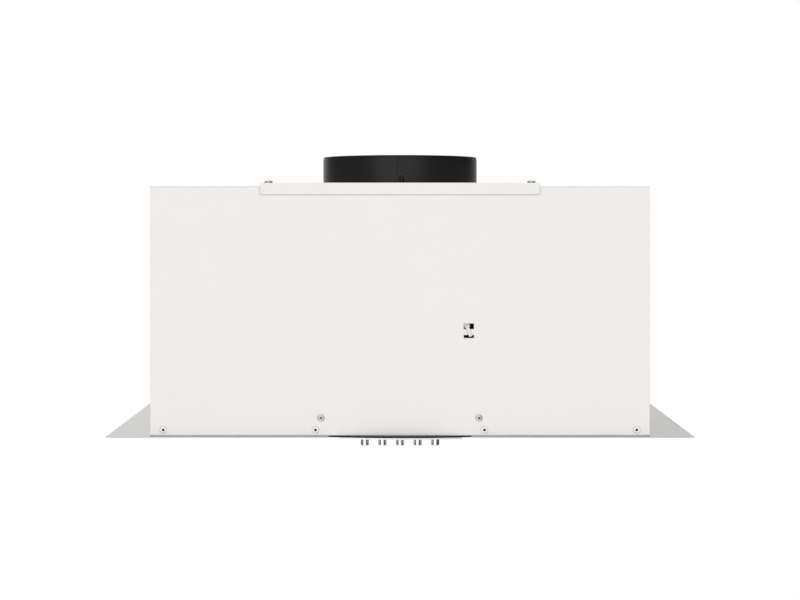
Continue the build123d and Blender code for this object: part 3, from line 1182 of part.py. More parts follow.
with BuildPart() as motor_bearings:
    for bearing_x in (MOTOR_FRONT, END_CAP_REAR - BEARING_LENGTH):
        with BuildSketch(BLOWER_PLANE.offset(bearing_x)):
            Circle(BEARING_RADIUS)
            Circle(SHAFT_RADIUS + BEARING_GAP, mode=Mode.SUBTRACT)
        extrude(amount=BEARING_LENGTH)
motor_bearings.part.label = "motor_bearings"
export_step(motor_bearings.part, "parts/motor_bearings.step")

with BuildPart() as motor_stator:
    with BuildSketch(BLOWER_PLANE.offset(STATOR_FRONT)):
        Circle(CAN_BORE_RADIUS)
        Circle(STATOR_BORE_RADIUS, mode=Mode.SUBTRACT)
    extrude(amount=STATOR_LENGTH)
    with BuildSketch(BLOWER_PLANE.offset(STATOR_FRONT - WINDING_LENGTH)):
        Circle(STATOR_BORE_RADIUS + 1 + WINDING_WALL)
        Circle(STATOR_BORE_RADIUS + 1, mode=Mode.SUBTRACT)
    extrude(amount=STATOR_LENGTH + 2 * WINDING_LENGTH)
motor_stator.part.label = "motor_stator"
export_step(motor_stator.part, "parts/motor_stator.step")

with BuildPart() as motor_bracket:
    with BuildSketch(BLOWER_PLANE.offset(BRACKET_FRONT)):
        Circle(MOTOR_RADIUS + BRACKET_RING_WALL)
        for angle in BRACKET_ANGLES:
            with Locations(Rotation(0, 0, angle)):
                with Locations((BRACKET_BOLT_CIRCLE / 2, 0)):
                    Rectangle(BRACKET_BOLT_CIRCLE, BRACKET_ARM_WIDTH)
        with Locations(*BRACKET_POINTS):
            Circle(BRACKET_ARM_WIDTH / 2)
        Circle(MOTOR_RADIUS, mode=Mode.SUBTRACT)
        with Locations(*BRACKET_POINTS):
            Circle(BRACKET_SCREW_RADIUS + FASTENER_GAP, mode=Mode.SUBTRACT)
    extrude(amount=BRACKET_SHEET)
motor_bracket.part.label = "motor_bracket"
export_step(motor_bracket.part, "parts/motor_bracket.step")

with BuildPart() as motor_bushes:
    with BuildSketch(BLOWER_PLANE.offset(SIDE_OUTER)):
        with Locations(*BRACKET_POINTS):
            Circle(BUSH_RADIUS)
            Circle(BRACKET_SCREW_RADIUS + FASTENER_GAP, mode=Mode.SUBTRACT)
    extrude(amount=BUSH_LENGTH)
motor_bushes.part.label = "motor_bushes"
export_step(motor_bushes.part, "parts/motor_bushes.step")

with BuildPart() as bracket_screws:
    bracket_screw = pan_screw(
        BRACKET_SCREW_HEAD_RADIUS,
        BRACKET_SCREW_HEAD_HEIGHT,
        BRACKET_SCREW_RADIUS,
        BRACKET_SHEET + BUSH_LENGTH + SCROLL_SIDE_SHEET + 1,
    )
    head_x = BRACKET_FRONT + BRACKET_SHEET
    with Locations(
        *[Location((head_x, BLOWER_AXIS_Y + u, BLOWER_AXIS_Z + v), (0, 90, 0)) for u, v in BRACKET_POINTS]
    ):
        add(bracket_screw)
bracket_screws.part.label = "bracket_screws"
export_step(bracket_screws.part, "parts/bracket_screws.step")

# ---------------------------------------------------------------- terminals and capacitor

TERMINAL_PLANE = Plane(origin=(INNER_SIDE_X, TERMINAL_Y, TERMINAL_Z), x_dir=(0, 1, 0), z_dir=(1, 0, 0))

with BuildPart() as terminal_box:
    with BuildSketch(TERMINAL_PLANE):
        RectangleRounded(TERMINAL_LENGTH, TERMINAL_HEIGHT, 2 * TERMINAL_WALL)
    extrude(amount=-TERMINAL_DEPTH)
    with BuildSketch(TERMINAL_PLANE.offset(-TERMINAL_WALL)):
        RectangleRounded(
            TERMINAL_LENGTH - 2 * TERMINAL_WALL, TERMINAL_HEIGHT - 2 * TERMINAL_WALL, TERMINAL_WALL
        )
    extrude(amount=-TERMINAL_DEPTH, mode=Mode.SUBTRACT)
terminal_box.part.label = "terminal_box"
export_step(terminal_box.part, "parts/terminal_box.step")

with BuildPart() as terminal_cover:
    with BuildSketch(TERMINAL_PLANE.offset(-TERMINAL_DEPTH)):
        RectangleRounded(TERMINAL_LENGTH, TERMINAL_HEIGHT, 2 * TERMINAL_WALL)
    extrude(amount=-TERMINAL_LID)
    fillet(terminal_cover.edges().group_by(Axis.X)[0], radius=TERMINAL_LID / 2)
terminal_cover.part.label = "terminal_cover"
export_step(terminal_cover.part, "parts/terminal_cover.step")

with BuildPart() as terminal_block:
    with BuildSketch(TERMINAL_PLANE.offset(-TERMINAL_WALL)):
        Rectangle(BLOCK_LENGTH, BLOCK_HEIGHT)
    extrude(amount=-BLOCK_DEPTH)
    with BuildSketch(TERMINAL_PLANE.offset(-TERMINAL_WALL - BLOCK_DEPTH)):
        with GridLocations(BLOCK_LENGTH / POLE_COUNT, BLOCK_HEIGHT / 2, POLE_COUNT, 2):
            Circle(BLOCK_LENGTH / POLE_COUNT / 4)
    extrude(amount=BLOCK_DEPTH / 2, mode=Mode.SUBTRACT)
terminal_block.part.label = "terminal_block"
export_step(terminal_block.part, "parts/terminal_block.step")

CAPACITOR_X = INNER_SIDE_X - STRAP_THICKNESS - CAPACITOR_RADIUS
with BuildPart() as capacitor:
    with BuildSketch(Plane.XY.offset(CAPACITOR_BOTTOM)):
        with Locations((CAPACITOR_X, CAPACITOR_Y)):
            Circle(CAPACITOR_RADIUS)
    extrude(amount=CAPACITOR_LENGTH)
    fillet(capacitor.edges().group_by(Axis.Z)[0], radius=CAPACITOR_RADIUS / 8)
    with BuildSketch(Plane.XY.offset(CAPACITOR_BOTTOM + CAPACITOR_LENGTH)):
        with Locations((CAPACITOR_X, CAPACITOR_Y)):
            with GridLocations(0, CAPACITOR_RADIUS, 1, 2):
                Rectangle(1, CAPACITOR_RADIUS / 2.5)
    extrude(amount=CAPACITOR_RADIUS / 2)
capacitor.part.label = "capacitor"
export_step(capacitor.part, "parts/capacitor.step")

with BuildPart() as capacitor_strap:
    with BuildSketch(Plane.XY.offset(CAPACITOR_BOTTOM + (CAPACITOR_LENGTH - STRAP_WIDTH) / 2)):
        with Locations((CAPACITOR_X, CAPACITOR_Y)):
            Circle(CAPACITOR_RADIUS + STRAP_THICKNESS)
        with Locations((INNER_SIDE_X, CAPACITOR_Y)):
            Rectangle(
                STRAP_THICKNESS,
                2 * (CAPACITOR_RADIUS + STRAP_THICKNESS + STRAP_FOOT),
                align=(Align.MAX, Align.CENTER),
            )
        with Locations((CAPACITOR_X, CAPACITOR_Y)):
            Circle(CAPACITOR_RADIUS, mode=Mode.SUBTRACT)
    extrude(amount=STRAP_WIDTH)
capacitor_strap.part.label = "capacitor_strap"
export_step(capacitor_strap.part, "parts/capacitor_strap.step")

with BuildPart() as cable_grommet:
    grommet_lip_plane = Plane.XZ.offset(-REAR_Y + SHEET)
    with BuildSketch(grommet_lip_plane):
        with Locations((GROMMET_X, GROMMET_Z)):
            Circle(GROMMET_LIP_RADIUS)
    extrude(amount=GROMMET_LIP)
    with BuildSketch(grommet_lip_plane):
        with Locations((GROMMET_X, GROMMET_Z)):
            Circle(GROMMET_NECK_RADIUS)
    extrude(amount=-SHEET)
    with BuildSketch(Plane.XZ.offset(-REAR_Y)):
        with Locations((GROMMET_X, GROMMET_Z)):
            Circle(GROMMET_LIP_RADIUS)
    extrude(amount=-GROMMET_LIP)
    with BuildSketch(Plane.XZ.offset(-REAR_Y - GROMMET_LIP)):
        with Locations((GROMMET_X, GROMMET_Z)):
            Circle(GROMMET_NECK_RADIUS)
    extrude(amount=-GROMMET_NOSE, taper=8)
    with BuildSketch(grommet_lip_plane.offset(GROMMET_LIP)):
        with Locations((GROMMET_X, GROMMET_Z)):
            Circle(GROMMET_BORE_RADIUS)
    extrude(amount=-(2 * GROMMET_LIP + SHEET + GROMMET_NOSE), mode=Mode.SUBTRACT)
cable_grommet.part.label = "cable_grommet"
export_step(cable_grommet.part, "parts/cable_grommet.step")

# ---------------------------------------------------------------- leads and tie


def lead(points, bends, radius):
    """Round lead along straight runs joined by tangent arcs."""
    with BuildPart() as tube:
        with BuildLine() as route:
            FilletPolyline(*points, radius=bends)
        with BuildSketch(Plane(origin=route.line @ 0, z_dir=route.line % 0)):
            Circle(radius)
        sweep()
    return tube.part


boss_top = CONTROL_BOX_HEIGHT + CONTROL_WALL + LEAD_BOSS_HEIGHT
CONTROL_LEAD_ROUTE = [
    (LEAD_START_X, LEAD_START_Y, boss_top),
    (LEAD_START_X, LEAD_START_Y, BRIDGE_Z - 1.9 * LEAD_BEND),
    (LEAD_START_X, LEAD_WALL_Y, BRIDGE_Z - 1.1 * LEAD_BEND),
    (LEAD_START_X, LEAD_WALL_Y, BRIDGE_Z),
    (LEAD_END_X, LEAD_WALL_Y, BRIDGE_Z),
    (LEAD_END_X, LEAD_WALL_Y, TERMINAL_Z),
    (LEAD_END_X, TERMINAL_Y - TERMINAL_LENGTH / 2, TERMINAL_Z),
]

terminal_bottom = TERMINAL_Z - TERMINAL_HEIGHT / 2
motor_lead_z = BLOWER_AXIS_Z + END_CAP_DOME_RADIUS * 0.65
MOTOR_LEAD_ROUTE = [
    (END_CAP_REAR, BLOWER_AXIS_Y, motor_lead_z),
    (END_CAP_REAR + 1.5 * LEAD_BEND, BLOWER_AXIS_Y, motor_lead_z),
    (LEAD_END_X, TERMINAL_Y, terminal_bottom - MOTOR_LEAD_RISE),
    (LEAD_END_X, TERMINAL_Y, terminal_bottom),
]

lamp_lead_high = (LAMP_CUP_HEIGHT + LAMP_CAP_TOP) / 2
lamp_lead_low = CONTROL_BOX_HEIGHT / 2
lamp_lead_front = LAMP_Y - LAMP_LEAD_SIDE_STEP
lamp_lead_span = LAMP_X - LAMP_CAP_RADIUS - CONTROL_BOX_WIDTH / 2
lamp_lead_run = 0.38 * lamp_lead_span
# Loom of the control lead, the motor lead and one lead to each lamp
with BuildPart() as wiring_loom:
    add(lead(CONTROL_LEAD_ROUTE, LEAD_BEND, LEAD_RADIUS))
    add(lead(MOTOR_LEAD_ROUTE, LEAD_BEND, LEAD_RADIUS))
    for side in SIDES.values():
        lamp_side_x = side * (LAMP_X - LAMP_CAP_RADIUS)
        control_side_x = side * CONTROL_BOX_WIDTH / 2
        lamp_lead_route = [
            (lamp_side_x, LAMP_Y, lamp_lead_high),
            (lamp_side_x - side * lamp_lead_run, LAMP_Y, lamp_lead_high),
            (control_side_x + side * lamp_lead_run, lamp_lead_front, lamp_lead_low),
            (control_side_x, lamp_lead_front, lamp_lead_low),
        ]
        add(lead(lamp_lead_route, 10 * LAMP_LEAD_RADIUS, LAMP_LEAD_RADIUS))
wiring_loom.part.label = "wiring_loom"
export_step(wiring_loom.part, "parts/wiring_loom.step")

# Loop round the bridge and the lead behind it, leaning to one side. Its head is behind the
# upper window, and the tail that was pulled through the head points to the rear.
tie_plane = Plane(
    origin=(WINDOW_X, 0, BRIDGE_Z),
    x_dir=(0, 1, 0),
    z_dir=(cos(radians(TIE_LEAN)), 0, sin(radians(TIE_LEAN))),
)
tie_front = FRONT_Y - TIE_SLACK / 4
tie_rear = LEAD_WALL_Y + LEAD_RADIUS + TIE_SLACK / 4
tie_inner_height = 2 * (max(BRIDGE_HEIGHT / 2, LEAD_RADIUS) + TIE_SLACK)
with BuildPart() as cable_tie:
    with BuildSketch(tie_plane):
        with Locations(((tie_front + tie_rear) / 2, 0)):
            RectangleRounded(
                tie_rear - tie_front + 2 * TIE_THICKNESS,
                tie_inner_height + 2 * TIE_THICKNESS,
                1.5 * TIE_THICKNESS,
            )
            RectangleRounded(
                tie_rear - tie_front, tie_inner_height, TIE_THICKNESS / 2, mode=Mode.SUBTRACT
            )
    extrude(amount=TIE_WIDTH / 2, both=True)
    tie_head_front = INNER_FRONT_Y + LEAD_WALL_GAP
    tie_loop_top = tie_inner_height / 2 + TIE_THICKNESS
    with BuildSketch(tie_plane):
        with Locations((tie_head_front, tie_loop_top)):
            Rectangle(TIE_HEAD_DEPTH, TIE_HEAD_HEIGHT, align=(Align.MIN, Align.MIN))
    extrude(amount=TIE_HEAD_WIDTH / 2, both=True)
    tie_tail_middle = tie_loop_top + TIE_HEAD_HEIGHT / 2
    with BuildSketch(tie_plane):
        with Locations((tie_head_front, tie_tail_middle)):
            Rectangle(TIE_HEAD_RECESS, 2 * TIE_THICKNESS, align=(Align.MIN, Align.CENTER))
    extrude(amount=TIE_WIDTH / 2, both=True, mode=Mode.SUBTRACT)
    with BuildSketch(tie_plane):
        with Locations((tie_head_front + TIE_HEAD_DEPTH, tie_tail_middle)):
            Rectangle(TIE_TAIL, TIE_THICKNESS, align=(Align.MIN, Align.CENTER))
    extrude(amount=TIE_WIDTH / 2, both=True)
cable_tie.part.label = "cable_tie"
export_step(cable_tie.part, "parts/cable_tie.step")
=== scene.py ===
import json
from math import cos, pi, radians, sin

import bmesh
import bpy
from mathutils import Matrix, Vector


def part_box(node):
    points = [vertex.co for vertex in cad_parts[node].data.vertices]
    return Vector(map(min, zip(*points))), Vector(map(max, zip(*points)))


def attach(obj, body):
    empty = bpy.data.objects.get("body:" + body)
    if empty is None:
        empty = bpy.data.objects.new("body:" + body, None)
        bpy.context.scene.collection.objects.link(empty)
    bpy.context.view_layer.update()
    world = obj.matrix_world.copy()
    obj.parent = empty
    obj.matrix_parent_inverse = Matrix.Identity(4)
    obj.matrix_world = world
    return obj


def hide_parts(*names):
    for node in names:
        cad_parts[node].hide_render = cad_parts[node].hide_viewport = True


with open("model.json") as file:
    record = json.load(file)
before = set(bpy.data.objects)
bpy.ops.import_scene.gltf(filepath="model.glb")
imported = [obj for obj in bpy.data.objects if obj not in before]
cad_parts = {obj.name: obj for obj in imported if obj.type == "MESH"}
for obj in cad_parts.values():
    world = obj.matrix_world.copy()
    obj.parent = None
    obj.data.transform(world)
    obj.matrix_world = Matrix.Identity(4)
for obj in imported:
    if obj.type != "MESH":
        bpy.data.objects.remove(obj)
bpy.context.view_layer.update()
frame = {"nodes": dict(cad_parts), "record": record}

# Built-in range hood. Metres, in the frame of the solids: +Z up, +X to the right as seen from
# the room, and the front faces -Y. The flange's top face is at z = 0.

MM = 0.001

# ---------------------------------------------------------------- photograph and camera

PHOTO_WIDTH_PX = 800
PHOTO_HEIGHT_PX = 600
HORIZON_ROW_PX = 216
FOCAL_PX = 1640
SENSOR_MM = 36.0
CAMERA_DISTANCE = 1.4762  # from the box's front sheet
CAMERA_HEIGHT = 0.1980

FLOOR_DROP = 2.2  # the hood hangs this far above the studio floor
STAGE_SIZE = 60.0

# ---------------------------------------------------------------- shader building blocks


def add_node(tree, kind, inputs=None, **settings):
    """Adds a shader node. Each input is a plain value or another node's output socket."""
    made = tree.nodes.new(kind)
    for name, value in settings.items():
        setattr(made, name, value)
    for name, value in (inputs or {}).items():
        if isinstance(value, bpy.types.NodeSocket):
            tree.links.new(value, made.inputs[name])
        else:
            made.inputs[name].default_value = value
    return made


def maths(tree, operation, first, second=0.5, clamp=False):
    """One arithmetic step on two values or sockets."""
    values = {0: first, 1: second}
    return add_node(tree, "ShaderNodeMath", values, operation=operation, use_clamp=clamp).outputs[0]


def blend_colours(tree, mask, low, high):
    """Colour that goes from low to high as the mask goes from 0 to 1."""
    mix = add_node(tree, "ShaderNodeMix", data_type="RGBA")
    for index, value in ((0, mask), (6, low), (7, high)):
        if isinstance(value, bpy.types.NodeSocket):
            tree.links.new(value, mix.inputs[index])
        else:
            mix.inputs[index].default_value = value
    return mix.outputs[2]


def spread(tree, value, low, high, start=0.0, end=1.0, interpolation="LINEAR"):
    """Maps start..end to low..high, clamped."""
    limits = {"Value": value, "From Min": start, "From Max": end, "To Min": low, "To Max": high}
    return add_node(tree, "ShaderNodeMapRange", limits, interpolation_type=interpolation).outputs[0]


def effect_group(name, inputs, outputs):
    """Empty node group with inputs {name: number or vector} and outputs {name: socket type}."""
    tree = bpy.data.node_groups.new(name, "ShaderNodeTree")
    for socket_name, default in inputs.items():
        socket_type = "NodeSocketVector" if isinstance(default, tuple) else "NodeSocketFloat"
        socket = tree.interface.new_socket(socket_name, in_out="INPUT", socket_type=socket_type)
        socket.default_value = default
    for socket_name, socket_type in outputs.items():
        tree.interface.new_socket(socket_name, in_out="OUTPUT", socket_type=socket_type)
    return tree, tree.nodes.new("NodeGroupInput").outputs, tree.nodes.new("NodeGroupOutput").inputs


def use_effect(tree, group, **values):
    """Places an effect group in a material with its own values."""
    made = tree.nodes.new("ShaderNodeGroup")
    made.node_tree = group
    for name, value in values.items():
        made.inputs[name.replace("_", " ")].default_value = value
    return made.outputs


def object_place(tree):
    """Position on the hood, in metres."""
    return add_node(tree, "ShaderNodeTexCoord").outputs["Object"]


def bump_over_soft_edges(tree, height, strength, edge_radius):
    """Normal of a fine relief, with the sharp edges eased as a press or a mould leaves them."""
    eased = add_node(tree, "ShaderNodeBevel", {"Radius": edge_radius}, samples=4).outputs["Normal"]
    bump = add_node(
        tree, "ShaderNodeBump", {"Height": height, "Strength": strength, "Distance": MM, "Normal": eased}
    )
    return bump.outputs["Normal"]


SURFACE_OUTPUTS = {"Mask": "NodeSocketFloat", "Normal": "NodeSocketVector"}


def speckle_effect():
    """Fine bumps all over, as on sprayed enamel or textured plastic: a mask and a normal."""
    tree, given, result = effect_group(
        "fine_speckle",
        {"Scale": 900.0, "Height": 0.02, "Edge Radius": 0.3 * MM},
        SURFACE_OUTPUTS,
    )
    noise = add_node(
        tree, "ShaderNodeTexNoise", {"Vector": object_place(tree), "Scale": given["Scale"]}
    ).outputs["Fac"]
    tree.links.new(noise, result["Mask"])
    normal = bump_over_soft_edges(tree, noise, given["Height"], given["Edge Radius"])
    tree.links.new(normal, result["Normal"])
    return tree


def brushed_effect():
    """Fine lines of a brushed or rolled sheet: stretched noise, as a mask and a normal."""
    tree, given, result = effect_group(
        "brushed_lines",
        {"Across": (1.0, 1.0, 1.0), "Scale": 900.0, "Height": 0.02, "Edge Radius": 0.3 * MM},
        SURFACE_OUTPUTS,
    )
    stretched = add_node(
        tree, "ShaderNodeVectorMath", {0: object_place(tree), 1: given["Across"]}, operation="MULTIPLY"
    ).outputs[0]
    noise = add_node(
        tree, "ShaderNodeTexNoise", {"Vector": stretched, "Scale": given["Scale"], "Detail": 3.0}
    ).outputs["Fac"]
    tree.links.new(noise, result["Mask"])
    normal = bump_over_soft_edges(tree, noise, given["Height"], given["Edge Radius"])
    tree.links.new(normal, result["Normal"])
    return tree


def handling_effect():
    """Broad, faint patches where hands and packing have touched a surface: a mask."""
    tree, given, result = effect_group(
        "handling_marks", {"Scale": 9.0, "Contrast": 0.5}, {"Mask": "NodeSocketFloat"}
    )
    noise = add_node(
        tree,
        "ShaderNodeTexNoise",
        {"Vector": object_place(tree), "Scale": given["Scale"], "Detail": 4.0, "Distortion": 0.6},
    ).outputs["Fac"]
    centred = maths(tree, "SUBTRACT", noise, 0.5)
    scaled = maths(tree, "MULTIPLY", centred, given["Contrast"])
    tree.links.new(maths(tree, "ADD", scaled, 0.5), result["Mask"])
    return tree


def spangle_effect():
    """Zinc crystals of galvanised sheet: cells of slightly different grey."""
    tree, given, result = effect_group("zinc_spangle", {"Scale": 160.0}, {"Mask": "NodeSocketFloat"})
    place = object_place(tree)
    warp = add_node(tree, "ShaderNodeTexNoise", {"Vector": place, "Scale": 60.0}).outputs["Color"]
    bent = add_node(
        tree,
        "ShaderNodeVectorMath",
        {0: warp, 1: (0.01, 0.01, 0.01), 2: place},
        operation="MULTIPLY_ADD",
    ).outputs[0]
    cells = add_node(tree, "ShaderNodeTexVoronoi", {"Vector": bent, "Scale": given["Scale"]})
    shade = add_node(tree, "ShaderNodeSeparateColor", {0: cells.outputs["Color"]}).outputs[0]
    tree.links.new(shade, result["Mask"])
    return tree


def seam_effect():
    """Painted shade where two pieces meet and in hollows, from ambient occlusion: a mask."""
    tree, given, result = effect_group(
        "seam_shade", {"Reach": 1.5 * MM, "Strength": 1.0}, {"Mask": "NodeSocketFloat"}
    )
    openness = add_node(
        tree, "ShaderNodeAmbientOcclusion", {"Distance": given["Reach"]}, samples=12
    ).outputs["AO"]
    covered = maths(tree, "SUBTRACT", 1.0, openness)
    tree.links.new(maths(tree, "MULTIPLY", covered, given["Strength"], clamp=True), result["Mask"])
    return tree


def edge_effect():
    """Painted shade along folded and cut edges, where the surface turns from the light: a mask."""
    tree, given, result = effect_group(
        "painted_edge_shade", {"Radius": 0.8 * MM, "Strength": 1.0}, {"Mask": "NodeSocketFloat"}
    )
    eased = add_node(tree, "ShaderNodeBevel", {"Radius": given["Radius"]}, samples=6).outputs["Normal"]
    plain = add_node(tree, "ShaderNodeNewGeometry").outputs["Normal"]
    likeness = add_node(
        tree, "ShaderNodeVectorMath", {0: eased, 1: plain}, operation="DOT_PRODUCT"
    ).outputs["Value"]
    turned_away = maths(tree, "SUBTRACT", 1.0, likeness)
    tree.links.new(maths(tree, "MULTIPLY", turned_away, given["Strength"], clamp=True), result["Mask"])
    return tree


SPECKLE = speckle_effect()
BRUSHED = brushed_effect()
HANDLING = handling_effect()
SPANGLE = spangle_effect()
SEAM = seam_effect()
EDGE = edge_effect()

# ---------------------------------------------------------------- finishes


def finish(name, **shader_values):
    """New material with a Principled shader. Plain values are set on its own sockets."""
    material = bpy.data.materials.new(name)
    material.use_nodes = True
    tree = material.node_tree
    shader = tree.nodes["Principled BSDF"]
    for socket_name, value in shader_values.items():
        shader.inputs[socket_name.replace("_", " ")].default_value = value
    return material, tree, shader


def connect(tree, shader, **sources):
    """Links each source to the shader's socket of that name."""
    for socket_name, source in sources.items():
        tree.links.new(source, shader.inputs[socket_name.replace("_", " ")])


def grey(level):
    """Neutral colour."""
    return (level, level, level, 1)


def shaded_seams(tree, colour, shade, reach, strength):
    """The colour, with painted shade where pieces meet."""
    seam = use_effect(tree, SEAM, Reach=reach, Strength=strength)
    return blend_colours(tree, seam["Mask"], colour, shade)


def enamelled(name, colour, shade, edge_shade_colour, seam_shade_colour, edge, seam):
    """White sprayed enamel: orange peel, with painted shade along the folds and in the seams.

    The edge and the seam are each a reach and a strength of painted shade.
    """
    material, tree, shader = finish(name, Specular_IOR_Level=0.35)
    texture = use_effect(tree, SPECKLE, Scale=1100.0, Height=0.018, Edge_Radius=0.4 * MM)
    patches = use_effect(tree, HANDLING, Scale=7.0, Contrast=1.2)
    fold = use_effect(tree, EDGE, Radius=edge[0], Strength=edge[1])
    sprayed = blend_colours(tree, patches["Mask"], shade, colour)
    edge_shaded = blend_colours(tree, fold["Mask"], sprayed, edge_shade_colour)
    seam_shaded = shaded_seams(tree, edge_shaded, seam_shade_colour, *seam)
    rough = spread(tree, patches["Mask"], 0.36, 0.48)
    connect(tree, shader, Base_Color=seam_shaded, Roughness=rough, Normal=texture["Normal"])
    return material


def moulded(name, colour, shade, roughness, grain, **shader_values):
    """Moulded plastic or rubber: fine grain, faint patches in colour and gloss.

    The grain is a scale and a height.
    """
    material, tree, shader = finish(name, **shader_values)
    texture = use_effect(tree, SPECKLE, Scale=grain[0], Height=grain[1], Edge_Radius=0.25 * MM)
    patches = use_effect(tree, HANDLING, Scale=14.0, Contrast=1.2)
    patched = blend_colours(tree, patches["Mask"], shade, colour)
    rough = spread(tree, patches["Mask"], roughness * 0.85, roughness * 1.15)
    connect(tree, shader, Base_Color=patched, Roughness=rough, Normal=texture["Normal"])
    return material


# Painted shade along the edges and in the seams of bare metal.
METAL_EDGE_REACH = 1.1 * MM
METAL_EDGE_SHADE_COLOUR = grey(0.2)
METAL_SEAM_REACH = 1.5 * MM
METAL_SEAM_SHADE_COLOUR = grey(0.06)


def brushed_metal(
    name, colour, shade, roughness, across, scale=900.0, height=0.03, seam=0.0, edge=0.0
):
    """Metal with fine lines. The texture is stretched along the direction with a low 'across'.

    The seam and the edge are each a strength of painted shade.
    """
    material, tree, shader = finish(name, Metallic=1.0)
    lines = use_effect(tree, BRUSHED, Across=across, Scale=scale, Height=height)
    patches = use_effect(tree, HANDLING, Scale=12.0, Contrast=0.8)
    lined_and_shaded = blend_colours(tree, lines["Mask"], shade, colour)
    if edge:
        cut = use_effect(tree, EDGE, Radius=METAL_EDGE_REACH, Strength=edge)
        lined_and_shaded = blend_colours(tree, cut["Mask"], lined_and_shaded, METAL_EDGE_SHADE_COLOUR)
    if seam:
        lined_and_shaded = shaded_seams(tree, lined_and_shaded, METAL_SEAM_SHADE_COLOUR, METAL_SEAM_REACH, seam)
    mixed = maths(tree, "MULTIPLY", lines["Mask"], patches["Mask"])
    rough = spread(tree, mixed, roughness * 0.7, roughness * 1.7)
    connect(tree, shader, Base_Color=lined_and_shaded, Roughness=rough, Normal=lines["Normal"])
    return material


def galvanised(name):
    """Zinc-coated sheet with a faint spangle."""
    material, tree, shader = finish(name, Metallic=1.0)
    cells = use_effect(tree, SPANGLE, Scale=170.0)
    texture = use_effect(tree, SPECKLE, Scale=500.0, Height=0.03)
    colour = blend_colours(tree, cells["Mask"], (0.48, 0.50, 0.52, 1), (0.66, 0.68, 0.70, 1))
    rough = spread(tree, cells["Mask"], 0.28, 0.48)
    connect(tree, shader, Base_Color=colour, Roughness=rough, Normal=texture["Normal"])
    return material


def foam(name):
    """Pale closed-cell foam strip."""
    material, tree, shader = finish(name, Roughness=0.9, Specular_IOR_Level=0.2)
    place = object_place(tree)
    cells = add_node(tree, "ShaderNodeTexVoronoi", {"Vector": place, "Scale": 1600.0}).outputs["Distance"]
    colour = blend_colours(tree, cells, grey(0.52), grey(0.74))
    bump = add_node(tree, "ShaderNodeBump", {"Height": cells, "Strength": 0.4, "Distance": MM})
    connect(tree, shader, Base_Color=colour, Normal=bump.outputs["Normal"])
    return material


def frosted_glass(name):
    """Lamp cover: frosted glass with a fine sandblasted face."""
    material, tree, shader = finish(
        name, Base_Color=(0.95, 0.96, 0.965, 1), Transmission_Weight=0.75, IOR=1.48
    )
    texture = use_effect(tree, SPECKLE, Scale=1400.0, Height=0.08)
    rough = spread(tree, texture["Mask"], 0.22, 0.38)
    connect(tree, shader, Roughness=rough, Normal=texture["Normal"])
    return material


